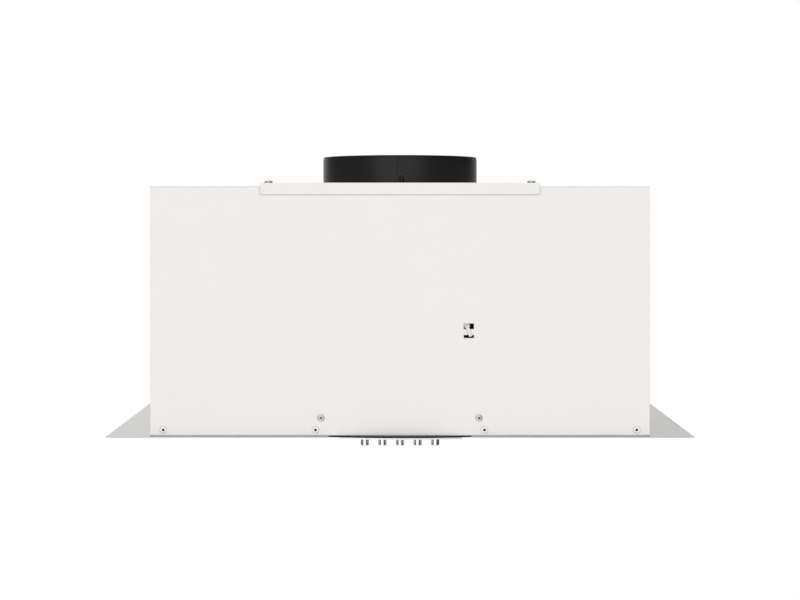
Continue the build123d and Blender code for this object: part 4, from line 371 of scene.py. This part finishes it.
EVEN = (1.0, 1.0, 1.0)
LINES_ALONG_X = (0.02, 1.0, 1.0)
LINES_ALONG_Y = (1.0, 0.03, 1.0)
LAMINATIONS_ALONG_X = (8.0, 1.0, 1.0)
# Each seam value below paints shade where pieces meet and in recesses; each edge value paints shade along
# edges.
FINISHES = {
    "white_enamel": enamelled(
        "white_enamel",
        colour=(0.868, 0.850, 0.835, 1),
        shade=(0.852, 0.834, 0.818, 1),
        # The edge and seam colours are painted shade.
        edge_shade_colour=(0.58, 0.57, 0.55, 1),
        seam_shade_colour=(0.24, 0.23, 0.22, 1),
        edge=(0.7 * MM, 1.7),
        seam=(0.8 * MM, 1.7),
    ),
    "gasket_foam": foam("gasket_foam"),
    "collar_plastic": moulded(
        "collar_plastic",
        colour=(0.0075, 0.0069, 0.0066, 1),
        shade=(0.0060, 0.0054, 0.0052, 1),
        roughness=0.36,
        grain=(1500.0, 0.05),
        Specular_IOR_Level=0.32,
    ),
    "flap_aluminium": brushed_metal(
        "flap_aluminium", colour=grey(0.78), shade=grey(0.66), roughness=0.3, across=LINES_ALONG_Y
    ),
    "zinc_fastener": brushed_metal(
        "zinc_fastener",
        colour=(0.78, 0.77, 0.74, 1),
        shade=(0.56, 0.56, 0.54, 1),
        roughness=0.3,
        across=EVEN,
        scale=1500.0,
        seam=2.2,
    ),
    "flange_stainless": brushed_metal(
        "flange_stainless",
        colour=(0.67, 0.66, 0.645, 1),
        shade=(0.565, 0.555, 0.54, 1),
        roughness=0.32,
        across=LINES_ALONG_X,
        scale=1200.0,
        height=0.02,
        edge=0.8,
    ),
    "control_plastic": moulded(
        "control_plastic",
        colour=(0.0085, 0.0078, 0.0070, 1),
        shade=(0.0066, 0.0060, 0.0056, 1),
        roughness=0.4,
        grain=(1600.0, 0.05),
        Specular_IOR_Level=0.22,
    ),
    "fascia_metal": brushed_metal(
        "fascia_metal",
        colour=grey(0.88),
        shade=grey(0.78),
        roughness=0.3,
        across=LINES_ALONG_X,
        scale=1200.0,
    ),
    "button_chrome": brushed_metal(
        "button_chrome",
        colour=grey(0.92),
        shade=grey(0.89),
        roughness=0.05,
        across=EVEN,
        scale=300.0,
        height=0.004,
    ),
    "bezel_steel": brushed_metal(
        "bezel_steel",
        colour=grey(0.78),
        shade=grey(0.70),
        roughness=0.16,
        across=EVEN,
        scale=500.0,
        height=0.01,
        seam=0.6,
    ),
    "lens_glass": frosted_glass("lens_glass"),
    "holder_plastic": moulded(
        "holder_plastic",
        colour=(0.72, 0.70, 0.65, 1),
        shade=(0.66, 0.64, 0.59, 1),
        roughness=0.45,
        grain=(1200.0, 0.04),
    ),
    "filter_aluminium": brushed_metal(
        "filter_aluminium",
        colour=grey(0.76),
        shade=grey(0.64),
        roughness=0.27,
        across=LINES_ALONG_Y,
        scale=1000.0,
        seam=0.5,
    ),
    "latch_plastic": moulded(
        "latch_plastic",
        colour=grey(0.030),
        shade=grey(0.024),
        roughness=0.42,
        grain=(1400.0, 0.06),
        Specular_IOR_Level=0.4,
    ),
    "galvanised_steel": galvanised("galvanised_steel"),
    "motor_iron": brushed_metal(
        "motor_iron",
        colour=grey(0.32),
        shade=grey(0.22),
        roughness=0.4,
        across=LAMINATIONS_ALONG_X,
        scale=300.0,
        height=0.05,
        seam=1.4,
    ),
    "bearing_bronze": brushed_metal(
        "bearing_bronze",
        colour=(0.62, 0.43, 0.22, 1),
        shade=(0.50, 0.34, 0.17, 1),
        roughness=0.35,
        across=EVEN,
    ),
    "rubber_black": moulded(
        "rubber_black", colour=grey(0.022), shade=grey(0.016), roughness=0.65, grain=(1300.0, 0.08)
    ),
    "lead_sheath": moulded(
        "lead_sheath", colour=grey(0.020), shade=grey(0.015), roughness=0.5, grain=(700.0, 0.08)
    ),
}
# The rivet heads' dark edge and seam colours paint a shaded ring round each head.
RIVET_ENAMEL = enamelled(
    "rivet_enamel",
    colour=(0.95, 0.94, 0.92, 1),
    shade=(0.93, 0.92, 0.90, 1),
    edge_shade_colour=(0.28, 0.27, 0.26, 1),
    seam_shade_colour=(0.05, 0.05, 0.05, 1),
    edge=(0.45 * MM, 2.2),
    seam=(0.9 * MM, 4.0),
)
# Its seam value paints shade on the stems, deep in their bores.
MANDREL_STEEL = brushed_metal(
    "mandrel_steel", colour=grey(0.14), shade=grey(0.09), roughness=0.5, across=EVEN, seam=1.4
)
TIE_NYLON = moulded(
    "tie_nylon",
    colour=(0.84, 0.83, 0.80, 1),
    shade=(0.78, 0.77, 0.74, 1),
    roughness=0.4,
    grain=(1200.0, 0.04),
)
SLOT_OF_NODE = {part["node"]: part["material_slot"] for part in frame["record"]["subparts"]}
for node_name, cad_node in frame["nodes"].items():
    cad_node.data.materials.clear()
    cad_node.data.materials.append(FINISHES[SLOT_OF_NODE[node_name]])

# ---------------------------------------------------------------- shapes


def plain_object(name, data):
    """Object in the scene's own collection."""
    made = bpy.data.objects.new(name, data)
    bpy.context.scene.collection.objects.link(made)
    return made


def mesh_from(shape, name):
    """Mesh of a finished shape, with its faces turned outwards."""
    bmesh.ops.recalc_face_normals(shape, faces=shape.faces)
    mesh = bpy.data.meshes.new(name)
    shape.to_mesh(mesh)
    shape.free()
    return mesh


SHARP_ANGLE = radians(32)


def new_piece(name, shape, body, slot, stands_for=(), material=None):
    """Piece that rides on a body, smooth but for its sharp edges, in its slot's finish or its own."""
    mesh = mesh_from(shape, name)
    mesh.polygons.foreach_set("use_smooth", [True] * len(mesh.polygons))
    mesh.set_sharp_from_angle(angle=SHARP_ANGLE)
    mesh.materials.append(material or FINISHES[slot])
    piece = plain_object(name, mesh)
    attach(piece, body)
    if stands_for:
        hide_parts(*stands_for)


def turned(profile, steps=48, hollow=False):
    """Solid turned about Z from (radius, height) points, which end at radius 0 or close a loop."""
    shape = bmesh.new()
    rings = []
    for radius, height in profile:
        count = steps if radius else 1
        angles = [2 * pi * i / count for i in range(count)]
        rings.append([shape.verts.new((radius * cos(a), radius * sin(a), height)) for a in angles])
    following = rings[1:] + rings[:1] if hollow else rings[1:]
    for lower, upper in zip(rings, following):
        for i in range(steps):
            below = (lower[i % len(lower)], lower[(i + 1) % len(lower)])
            above = (upper[(i + 1) % len(upper)], upper[i % len(upper)])
            shape.faces.new(dict.fromkeys(below + above))
    return shape


def join_rings(shape, ring, following):
    """Adds the faces between two rings of as many corners."""
    for i in range(len(ring)):
        j = (i + 1) % len(ring)
        shape.faces.new((ring[i], ring[j], following[j], following[i]))


def add_block(shape, lower, upper):
    """Adds a six-sided block between two four-cornered ends."""
    ends = [[shape.verts.new(corner) for corner in end] for end in (lower, upper)]
    shape.faces.new(ends[0])
    shape.faces.new(ends[1])
    join_rings(shape, *ends)


CORNER_SIGNS = ((-1, -1), (1, -1), (1, 1), (-1, 1))


def rectangle(width, depth, height, y=0.0):
    """Corners of a level rectangle, in the middle of X."""
    return [(sx * width / 2, y + sy * depth / 2, height) for sx, sy in CORNER_SIGNS]


def upright_rectangle(width, y, first_z, second_z):
    """Corners of a rectangle that faces along Y, in the middle of X."""
    half = width / 2
    return [(-half, y, first_z), (half, y, first_z), (half, y, second_z), (-half, y, second_z)]


def gather(mesh, places):
    """One shape with a copy of the mesh at each place, given as a matrix."""
    shape = bmesh.new()
    for place in places:
        first = len(shape.verts)
        shape.from_mesh(mesh)
        shape.verts.ensure_lookup_table()
        bmesh.ops.transform(shape, matrix=place, verts=shape.verts[first:])
    return shape


def carved(blank, cutters):
    """Mesh of the blank with the cutters' shapes taken out of it."""
    solid = plain_object("blank", mesh_from(blank, "blank"))
    tools = [plain_object("cutter", mesh_from(cutter, "cutter")) for cutter in cutters]
    for tool in tools:
        cut = solid.modifiers.new("cut", "BOOLEAN")
        cut.operation = "DIFFERENCE"
        cut.solver = "EXACT"
        cut.object = tool
    depsgraph = bpy.context.evaluated_depsgraph_get()
    mesh = bpy.data.meshes.new_from_object(solid.evaluated_get(depsgraph))
    for helper in (solid, *tools):
        bpy.data.objects.remove(helper)
    return mesh


# ---------------------------------------------------------------- screws and rivets

HEAD_ARC_STEPS = 7
HEAD_RIM_SHARE = 0.35  # of the head's height, under its dome
SHANK_TIP_SHARE = 0.6  # of the shank's radius
SHANK_LENGTH = 9.0 * MM
RECESS_SPAN = 4.2 * MM
RECESS_DEPTH_SHARE = 0.75  # of the head's height
RECESS_FLOOR_WIDTH_SHARE = 0.55
RECESS_FLOOR_LENGTH_SHARE = 0.45  # of what the recess is longer than wide
CUTTER_OVERRUN = 1.0 * MM  # a cutter stands this far out of its blank


def recess_wing(span_x, span_y, floor, top):
    """One bar of a cross recess, narrower and shorter at its floor."""
    narrow = min(span_x, span_y)
    floor_x, floor_y = (
        narrow * RECESS_FLOOR_WIDTH_SHARE + (span - narrow) * RECESS_FLOOR_LENGTH_SHARE
        for span in (span_x, span_y)
    )
    wing = bmesh.new()
    add_block(wing, rectangle(floor_x, floor_y, floor), rectangle(span_x, span_y, top))
    return wing


def cross_head_screw(head_radius, head_height, shank_radius, recess_width):
    """Domed screw along Z with a cross recess. The head's underside is at z = 0."""
    rim = head_height * HEAD_RIM_SHARE
    dome = [
        (head_radius * cos(a) if a < pi / 2 else 0.0, rim + (head_height - rim) * sin(a))
        for a in [pi / 2 * i / HEAD_ARC_STEPS for i in range(HEAD_ARC_STEPS + 1)]
    ]
    profile = [
        (0.0, -SHANK_LENGTH),
        (shank_radius * SHANK_TIP_SHARE, -SHANK_LENGTH),
        (shank_radius, -SHANK_LENGTH + shank_radius),
        (shank_radius, 0.0),
        (head_radius, 0.0),
        *dome,
    ]
    floor = head_height - head_height * RECESS_DEPTH_SHARE
    top = head_height + CUTTER_OVERRUN
    wings = [
        recess_wing(RECESS_SPAN, recess_width, floor, top),
        recess_wing(recess_width, RECESS_SPAN, floor, top),
    ]
    return carved(turned(profile), wings)


def screw_places(node, head_radius, head_height, axis, turns):
    """Matrices of a node's screws from its box: heads up (Z) or towards the front (Y)."""
    low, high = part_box(node)
    xs = (low.x + head_radius, high.x - head_radius)
    ys = (low.y + head_radius, high.y - head_radius)
    if axis == "Z":
        spots = [(x, y, high.z - head_height) for x in xs for y in ys]
        lay = Matrix()
    else:
        spots = [(x, low.y + head_height, (low.z + high.z) / 2) for x in xs]
        lay = Matrix.Rotation(pi / 2, 4, "X")
    return [
        Matrix.Translation(spot) @ lay @ Matrix.Rotation(radians(turn), 4, "Z")
        for spot, turn in zip(spots, turns)
    ]


SCREWS = (  # node, head's radius and height, shank's radius, recess's width, axis and turns
    ("cover_screws", 3.75 * MM, 2.4 * MM, 1.75 * MM, 1.0 * MM, "Z", (12, 57, 81, 33)),
    ("control_screws", 2.9 * MM, 1.0 * MM, 1.4 * MM, 1.1 * MM, "Y", (28, 52)),
)


def make_screws():
    """Cover and control screws with their cross recesses, each turned its own way."""
    for node, head_radius, head_height, shank_radius, recess_width, axis, turns in SCREWS:
        screw = cross_head_screw(head_radius, head_height, shank_radius, recess_width)
        places = screw_places(node, head_radius, head_height, axis, turns)
        new_piece(f"{node}_cross", gather(screw, places), "root", "zinc_fastener", [node])


RIVET_XS = (76.0 * MM, 213.0 * MM)
RIVET_SIDE_Y = 80.0 * MM
RIVET_Z = 5.5 * MM
RIVET_BORE_RADIUS = 1.25 * MM
RIVET_SHANK_RADIUS = 1.6 * MM
RIVET_TAIL = -2.5 * MM
RIVET_HEAD_MM = (  # radius and height
    (2.75, 0.0),
    (3.0, 0.12),
    (3.0, 0.3),
    (2.85, 0.62),
    (2.6, 0.85),
    (2.3, 1.0),
    (1.6, 1.12),
)
RIVET_MOUTH_HEIGHT = 1.05 * MM
STEM_RADIUS = 1.15 * MM
STEM_TOP = -1.4 * MM  # sunk below the sheet's face
STEM_BOTTOM = -2.2 * MM


def make_rivets():
    """Pop rivets with a raised rim round the head, and the broken steel stems left in them."""
    rivet = turned(
        [
            (RIVET_BORE_RADIUS, RIVET_MOUTH_HEIGHT),
            (RIVET_BORE_RADIUS, RIVET_TAIL),
            (RIVET_SHANK_RADIUS, RIVET_TAIL),
            (RIVET_SHANK_RADIUS, 0.0),
            *[(radius * MM, height * MM) for radius, height in RIVET_HEAD_MM],
        ],
        steps=40,
        hollow=True,
    )
    stem = turned(
        [
            (0.0, STEM_BOTTOM),
            (STEM_RADIUS, STEM_BOTTOM),
            (STEM_RADIUS, STEM_TOP - 0.4 * MM),
            (STEM_RADIUS * 0.7, STEM_TOP - 0.1 * MM),
            (STEM_RADIUS * 0.5, STEM_TOP),
            (0.0, STEM_TOP - 0.25 * MM),
        ],
        steps=16,
    )
    front_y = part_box("front_panel")[0].y
    rear_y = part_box("rear_panel")[1].y
    side_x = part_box("right_side_panel")[1].x
    places = []
    for x in (-RIVET_XS[1], -RIVET_XS[0], RIVET_XS[0], RIVET_XS[1]):
        places.append(Matrix.Translation((x, front_y, RIVET_Z)) @ Matrix.Rotation(pi / 2, 4, "X"))
        places.append(Matrix.Translation((x, rear_y, RIVET_Z)) @ Matrix.Rotation(-pi / 2, 4, "X"))
    for y in (-RIVET_SIDE_Y, RIVET_SIDE_Y):
        places.append(Matrix.Translation((side_x, y, RIVET_Z)) @ Matrix.Rotation(pi / 2, 4, "Y"))
        places.append(Matrix.Translation((-side_x, y, RIVET_Z)) @ Matrix.Rotation(-pi / 2, 4, "Y"))
    heads = gather(mesh_from(rivet, "rivet"), places)
    new_piece("pop_rivets", heads, "root", "white_enamel", ["body_rivets"], material=RIVET_ENAMEL)
    stems = gather(mesh_from(stem, "rivet_stem"), places)
    new_piece("rivet_stems", stems, "root", "motor_iron", material=MANDREL_STEEL)


make_screws()
make_rivets()

# ---------------------------------------------------------------- cable tie

TIE_X = 62.35 * MM
TIE_Z = 93.55 * MM
TIE_LEAN = radians(20.0)
TIE_WIDTH = 3.0 * MM
TIE_THICKNESS = 0.9 * MM
TIE_FRONT_Y = -130.2 * MM  # inside of the loop
TIE_REAR_Y = -123.5 * MM
TIE_HALF_HEIGHT = 3.45 * MM
TIE_CORNER = 0.9 * MM
TIE_CORNER_STEPS = 5
TIE_CHAMFER = 0.15 * MM
TIE_HEAD_FRONT_Y = -128.7 * MM
TIE_HEAD_SIZE = (5.0 * MM, 3.6 * MM, 4.2 * MM)  # width, depth and height
TIE_HEAD_SEAT_SHARE = 0.9  # of the strap's thickness, under the head
TIE_HEAD_TOP_SHARE = 0.94  # of its width
TIE_HEAD_EASE = 0.45 * MM
TIE_MOUTH = (3.4 * MM, 1.2 * MM, 1.9 * MM)  # width, depth and height
PAWL_WIDTH_SHARE = 0.7  # of the strap's width
PAWL_SET_BACK = 0.3 * MM
PAWL_ROOT = (1.0, 0.62)  # its top and bottom, as shares of the mouth's height
PAWL_TIP = (0.78, 0.55)
TIE_TAIL = 6.0 * MM
TIE_TOOTH_PITCH = 0.75 * MM
TIE_TOOTH_RISE = 0.22 * MM


def strap_loop():
    """Strap with eased edges round the bridge and the lead. Local X is the strap's width."""
    half = TIE_THICKNESS / 2
    low_y, high_y = TIE_FRONT_Y - half, TIE_REAR_Y + half
    low_z, high_z = -TIE_HALF_HEIGHT - half, TIE_HALF_HEIGHT + half
    corners = (
        (high_y - TIE_CORNER, high_z - TIE_CORNER, 0.0),
        (low_y + TIE_CORNER, high_z - TIE_CORNER, pi / 2),
        (low_y + TIE_CORNER, low_z + TIE_CORNER, pi),
        (high_y - TIE_CORNER, low_z + TIE_CORNER, 3 * pi / 2),
    )
    section = []
    for side, layer in CORNER_SIGNS:
        at_side = (side * TIE_WIDTH / 2, layer * (half - TIE_CHAMFER))
        at_face = (side * (TIE_WIDTH / 2 - TIE_CHAMFER), layer * half)
        section += [at_side, at_face] if side == layer else [at_face, at_side]
    shape = bmesh.new()
    rings = []
    for centre_y, centre_z, start in corners:
        for i in range(TIE_CORNER_STEPS + 1):
            angle = start + pi / 2 * i / TIE_CORNER_STEPS
            ring = []
            for x, outwards in section:
                radius = TIE_CORNER + outwards
                corner = (x, centre_y + radius * cos(angle), centre_z + radius * sin(angle))
                ring.append(shape.verts.new(corner))
            rings.append(ring)
    for ring, following in zip(rings, rings[1:] + rings[:1]):
        join_rings(shape, ring, following)
    return shape


def tie_head():
    """Mesh of the square head with eased edges and a mouth, and the mouth's bottom."""
    width, depth, height = TIE_HEAD_SIZE
    bottom = TIE_HALF_HEIGHT + TIE_THICKNESS * TIE_HEAD_SEAT_SHARE
    middle_y = TIE_HEAD_FRONT_Y + depth / 2
    blank = bmesh.new()
    add_block(
        blank,
        rectangle(width, depth, bottom, y=middle_y),
        rectangle(width * TIE_HEAD_TOP_SHARE, depth, bottom + height, y=middle_y),
    )
    bmesh.ops.bevel(
        blank, geom=blank.edges[:], offset=TIE_HEAD_EASE, segments=3, profile=0.6, affect="EDGES"
    )
    mouth_width, mouth_depth, mouth_height = TIE_MOUTH
    mouth_bottom = bottom + (height - mouth_height) / 2
    cut_depth = mouth_depth + CUTTER_OVERRUN
    cut_y = TIE_HEAD_FRONT_Y + (mouth_depth - CUTTER_OVERRUN) / 2
    mouth = bmesh.new()
    add_block(
        mouth,
        rectangle(mouth_width, cut_depth, mouth_bottom, y=cut_y),
        rectangle(mouth_width, cut_depth, mouth_bottom + mouth_height, y=cut_y),
    )
    return carved(blank, [mouth]), mouth_bottom


def add_pawl(tie, mouth_bottom):
    """Adds the slanted tongue in the head's mouth."""
    width = TIE_WIDTH * PAWL_WIDTH_SHARE
    mouth_depth, mouth_height = TIE_MOUTH[1:]
    ends = []
    for set_back, shares in ((mouth_depth, PAWL_ROOT), (PAWL_SET_BACK, PAWL_TIP)):
        top, bottom = (mouth_bottom + mouth_height * share for share in shares)
        ends.append(upright_rectangle(width, TIE_HEAD_FRONT_Y + set_back, top, bottom))
    add_block(tie, *ends)


def add_tail(tie, bottom):
    """Adds the strap's tail behind the head, with one ramp a tooth."""
    front = TIE_HEAD_FRONT_Y + TIE_HEAD_SIZE[1]
    top = bottom + TIE_THICKNESS
    count = int(TIE_TAIL / TIE_TOOTH_PITCH)
    for i in range(count):
        near = front + i * TIE_TAIL / count
        far = near + TIE_TAIL / count
        add_block(
            tie,
            upright_rectangle(TIE_WIDTH, near, bottom, top),
            upright_rectangle(TIE_WIDTH, far, bottom, top - TIE_TOOTH_RISE),
        )


def make_cable_tie():
    """Nylon tie: loop, head with its pawl, and the toothed tail behind it."""
    head, mouth_bottom = tie_head()
    tie = strap_loop()
    tie.from_mesh(head)
    add_pawl(tie, mouth_bottom)
    add_tail(tie, mouth_bottom + (TIE_MOUTH[2] - TIE_THICKNESS) / 2)
    place = Matrix.Translation((TIE_X, 0.0, TIE_Z)) @ Matrix.Rotation(-TIE_LEAN, 4, "Y")
    bmesh.ops.transform(tie, matrix=place, verts=tie.verts)
    new_piece("cable_tie_nylon", tie, "root", "holder_plastic", ["cable_tie"], material=TIE_NYLON)


make_cable_tie()

# ---------------------------------------------------------------- grease filters

PAD_WAVES = 22
WAVE_STEPS = 10
WAVE_SHEET = 0.4 * MM
LATCH_NOTCH_WIDTH = 48.4 * MM
LATCH_NOTCH_DEPTH = 20.0 * MM  # behind the pad's front edge
MESH_LONG_WAY = 8.0 * MM
MESH_SHORT_WAY = 4.2 * MM
MESH_STRAND = 0.75 * MM
MESH_THICKNESS = 0.4 * MM
MESH_SLANT = 0.22 * MM


def waved_slab(shape, low, high, start, wave):
    """Part of a pad's waved sheet between two corners, with its waves counted from start."""
    left, front, bottom = low
    right, rear, top = high
    count = max(2, round((right - left) / wave * WAVE_STEPS))
    amplitude = (top - bottom - WAVE_SHEET) / 2
    middle = (bottom + top) / 2
    rows = []
    for i in range(count + 1):
        x = left + (right - left) * i / count
        z = middle + amplitude * sin(2 * pi * (x - start) / wave)
        rows.append([
            shape.verts.new((x, y, z + layer * WAVE_SHEET / 2))
            for y, layer in ((front, -1), (rear, -1), (rear, 1), (front, 1))
        ])
    for row, following in zip(rows, rows[1:]):
        join_rings(shape, row, following)
    shape.faces.new(rows[0])
    shape.faces.new(rows[-1])


def add_strand(shape, start, end):
    """Adds one slanted strand of expanded metal."""
    along = (end - start).normalized()
    aside = Vector((-along.y, along.x, 0.0)) * MESH_STRAND / 2
    tilt = Vector((0.0, 0.0, MESH_SLANT if aside.y > 0 else -MESH_SLANT))
    lift = Vector((0.0, 0.0, MESH_THICKNESS / 2))
    ends = [
        [
            point - aside - tilt - lift,
            point + aside + tilt - lift,
            point + aside + tilt + lift,
            point - aside - tilt + lift,
        ]
        for point in (start, end)
    ]
    add_block(shape, *ends)


def expanded_sheet(shape, low, high, level, notch_left, notch_right, notch_rear):
    """Level sheet of expanded metal: slanted strands that meet in rows of diamonds."""
    columns = int((high.x - low.x) / MESH_SHORT_WAY)
    rows = int((high.y - low.y) / MESH_LONG_WAY)
    step_x = (high.x - low.x) / columns / 2
    step_y = (high.y - low.y) / rows / 2
    for i in range(2 * columns):
        x0, x1 = low.x + i * step_x, low.x + (i + 1) * step_x
        beside_notch = x1 <= notch_left or x0 >= notch_right
        for j in range(2 * rows):
            y0, y1 = low.y + j * step_y, low.y + (j + 1) * step_y
            if y0 < notch_rear and not beside_notch:
                continue
            if (i + j) % 2:
                y0, y1 = y1, y0
            add_strand(shape, Vector((x0, y0, level)), Vector((x1, y1, level)))


def make_filter_pads():
    """Pads of the grease filters: a waved inner sheet between two sheets of expanded mesh."""
    mesh_room = MESH_THICKNESS / 2 + MESH_SLANT
    for side_name in ("left", "right"):
        node = f"filter_mesh_{side_name}"
        body = f"filter_{side_name}"
        low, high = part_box(node)
        middle_x = (low.x + high.x) / 2
        notch_left = middle_x - LATCH_NOTCH_WIDTH / 2
        notch_right = middle_x + LATCH_NOTCH_WIDTH / 2
        notch_rear = low.y + LATCH_NOTCH_DEPTH
        core_low = low.z + 2 * mesh_room
        core_high = high.z - 2 * mesh_room
        wave = (high.x - low.x) / PAD_WAVES
        core = bmesh.new()
        for left, right, front in (
            (low.x, notch_left, low.y),
            (notch_left, notch_right, notch_rear),
            (notch_right, high.x, low.y),
        ):
            waved_slab(core, (left, front, core_low), (right, high.y, core_high), low.x, wave)
        new_piece(f"filter_core_{side_name}", core, body, "filter_aluminium", [node])
        sheets = bmesh.new()
        for level in (low.z + mesh_room, high.z - mesh_room):
            expanded_sheet(sheets, low, high, level, notch_left, notch_right, notch_rear)
        new_piece(f"filter_expanded_{side_name}", sheets, body, "filter_aluminium", [node])


make_filter_pads()

# ---------------------------------------------------------------- lamp lenses

LENS_RINGS = 8
LENS_RELIEF = 0.35 * MM
LENS_CENTRE = 3.0 * MM
LENS_RAMP_SHARE = 0.6  # of a ring's width


def make_lenses():
    """Glass lenses with ring prisms on the face towards the room."""
    for side_name in ("left", "right"):
        node = f"lamp_lens_{side_name}"
        low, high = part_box(node)
        radius = (high.x - low.x) / 2
        pitch = (radius - LENS_CENTRE) / LENS_RINGS
        face = [(0.0, low.z)]
        for i in range(LENS_RINGS):
            inner = LENS_CENTRE + i * pitch
            face.append((inner, low.z + LENS_RELIEF))
            face.append((inner + pitch * LENS_RAMP_SHARE, low.z))
        face.append((radius, low.z + LENS_RELIEF))
        lens = turned([*face, (radius, high.z), (0.0, high.z)], steps=72)
        centre = Matrix.Translation(((low.x + high.x) / 2, (low.y + high.y) / 2, 0.0))
        bmesh.ops.transform(lens, matrix=centre, verts=lens.verts)
        new_piece(f"lens_prisms_{side_name}", lens, "root", "lens_glass", [node])


make_lenses()

# ---------------------------------------------------------------- studio

ROOM_LIGHT = 1.1
SIDE_LIGHT = 1.0
FRONT_LIGHT = 0.26  # less, because the lamps stand there
REFLECTED_FRONT = 1.1  # as a gloss shows it
REFLECTED_REST = 0.85
REFLECTED_SIDE = 0.12
REFLECTED_TILT = 0.45  # reflections are paler on the left
SIDE_STARTS = 0.46  # of a direction's share across
SIDE_ENDS = 0.72
FRONT_STARTS = 0.1  # of a direction's share towards the front
FRONT_ENDS = 0.7
FLOOR_GREY = 0.6
GROUND_FADE_STARTS = 2.4
GROUND_FADE_ENDS = 4.2
GROUND_GLOW = 0.6  # of the backdrop's white, right under the hood
LAMP_SIZE = 3.2
LAMP_COLOUR = (1.0, 0.985, 0.97)
LAMP_AIM = Vector((0.0, 0.0, 0.1))


def studio_walls():
    """Light that each direction of the studio gives, and the brightness a gloss shows there."""
    tree, given, result = effect_group(
        "studio_walls",
        {"Direction": (0.0, -1.0, 0.0)},
        {"Light": "NodeSocketFloat", "Reflected": "NodeSocketFloat"},
    )
    unit = add_node(tree, "ShaderNodeVectorMath", {0: given["Direction"]}, operation="NORMALIZE")
    across, rearwards, _ = add_node(tree, "ShaderNodeSeparateXYZ", {0: unit.outputs[0]}).outputs
    sideways = maths(tree, "ABSOLUTE", across)
    side = spread(tree, sideways, 0.0, 1.0, SIDE_STARTS, SIDE_ENDS, "SMOOTHSTEP")
    tilt = maths(tree, "SUBTRACT", 1.0, maths(tree, "MULTIPLY", across, REFLECTED_TILT))
    frontwards = maths(tree, "MULTIPLY", rearwards, -1.0)
    front = spread(tree, frontwards, 0.0, 1.0, FRONT_STARTS, FRONT_ENDS, "SMOOTHSTEP")
    wall = spread(tree, front, REFLECTED_REST, REFLECTED_FRONT)
    reflected = maths(tree, "MULTIPLY", spread(tree, side, wall, REFLECTED_SIDE), tilt)
    room = spread(tree, side, ROOM_LIGHT, SIDE_LIGHT)
    fall = maths(tree, "MULTIPLY", maths(tree, "SUBTRACT", room, FRONT_LIGHT), front)
    tree.links.new(maths(tree, "SUBTRACT", room, fall), result["Light"])
    tree.links.new(reflected, result["Reflected"])
    return tree


WALLS = studio_walls()


def seen_directly(tree):
    """Light Path outputs, and a mask of what is seen straight or through glass."""
    path = add_node(tree, "ShaderNodeLightPath").outputs
    return path, maths(tree, "MAXIMUM", path["Is Camera Ray"], path["Is Transmission Ray"])


def make_world():
    """Even pale light and a white backdrop, with dim side walls that draw edges on gloss."""
    world = bpy.data.worlds.new("studio")
    bpy.context.scene.world = world
    world.use_nodes = True
    tree = world.node_tree
    direction = add_node(tree, "ShaderNodeTexCoord").outputs["Generated"]
    walls = add_node(tree, "ShaderNodeGroup", {"Direction": direction}, node_tree=WALLS).outputs
    path, seen = seen_directly(tree)
    unseen = blend_colours(tree, path["Is Glossy Ray"], walls["Light"], walls["Reflected"])
    colour = blend_colours(tree, seen, unseen, grey(1.0))
    tree.links.new(colour, tree.nodes["Background"].inputs["Color"])


def make_floor():
    """Pale floor far below, which fades into the backdrop."""
    mesh = bpy.data.meshes.new("studio_floor")
    mesh.from_pydata(rectangle(STAGE_SIZE, STAGE_SIZE, -FLOOR_DROP), [], [(0, 1, 2, 3)])
    floor = plain_object("studio_floor", mesh)
    material, tree, shader = finish("studio_floor", Base_Color=grey(FLOOR_GREY), Roughness=1.0)
    place = object_place(tree)
    distance = add_node(tree, "ShaderNodeVectorMath", {0: place}, operation="LENGTH").outputs["Value"]
    far = spread(tree, distance, GROUND_GLOW, 1.0, GROUND_FADE_STARTS, GROUND_FADE_ENDS)
    walls = add_node(tree, "ShaderNodeGroup", {"Direction": place}, node_tree=WALLS).outputs
    path, seen = seen_directly(tree)
    backdrop = blend_colours(tree, seen, walls["Reflected"], grey(1.0))
    glow = add_node(tree, "ShaderNodeEmission", {"Color": backdrop, "Strength": 1.0}).outputs[0]
    mask = maths(tree, "MULTIPLY", far, maths(tree, "MAXIMUM", seen, path["Is Glossy Ray"]))
    surface = add_node(tree, "ShaderNodeMixShader", {0: mask, 1: shader.outputs[0], 2: glow})
    tree.links.new(surface.outputs[0], tree.nodes["Material Output"].inputs["Surface"])
    mesh.materials.append(material)


def make_lamp(name, place, power):
    """Soft square lamp that points at the middle of the hood."""
    light = bpy.data.lights.new(name, "AREA")
    light.shape = "SQUARE"
    light.size = LAMP_SIZE
    light.energy = power
    light.color = LAMP_COLOUR
    lamp = plain_object(name, light)
    lamp.location = place
    lamp.visible_glossy = False  # glossy surfaces show the studio walls instead
    lamp.rotation_mode = "QUATERNION"
    lamp.rotation_quaternion = (LAMP_AIM - Vector(place)).to_track_quat("-Z", "Y")


def make_camera():
    """Level camera whose shift puts the horizon on the photograph's row."""
    data = bpy.data.cameras.new("photograph")
    data.sensor_width = SENSOR_MM
    data.lens = FOCAL_PX / PHOTO_WIDTH_PX * SENSOR_MM
    data.shift_y = (HORIZON_ROW_PX - PHOTO_HEIGHT_PX / 2) / PHOTO_WIDTH_PX
    camera = plain_object("photograph", data)
    front_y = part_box("front_panel")[0].y
    camera.location = (0.0, front_y - CAMERA_DISTANCE, CAMERA_HEIGHT)
    camera.rotation_euler = (pi / 2, 0.0, 0.0)
    bpy.context.scene.camera = camera


make_camera()
make_world()
make_floor()
make_lamp("key", place=(-1.0, -2.7, 0.75), power=33.0)
make_lamp("fill", place=(1.0, -2.7, 0.35), power=30.0)
bpy.context.scene.view_settings.view_transform = "Standard"
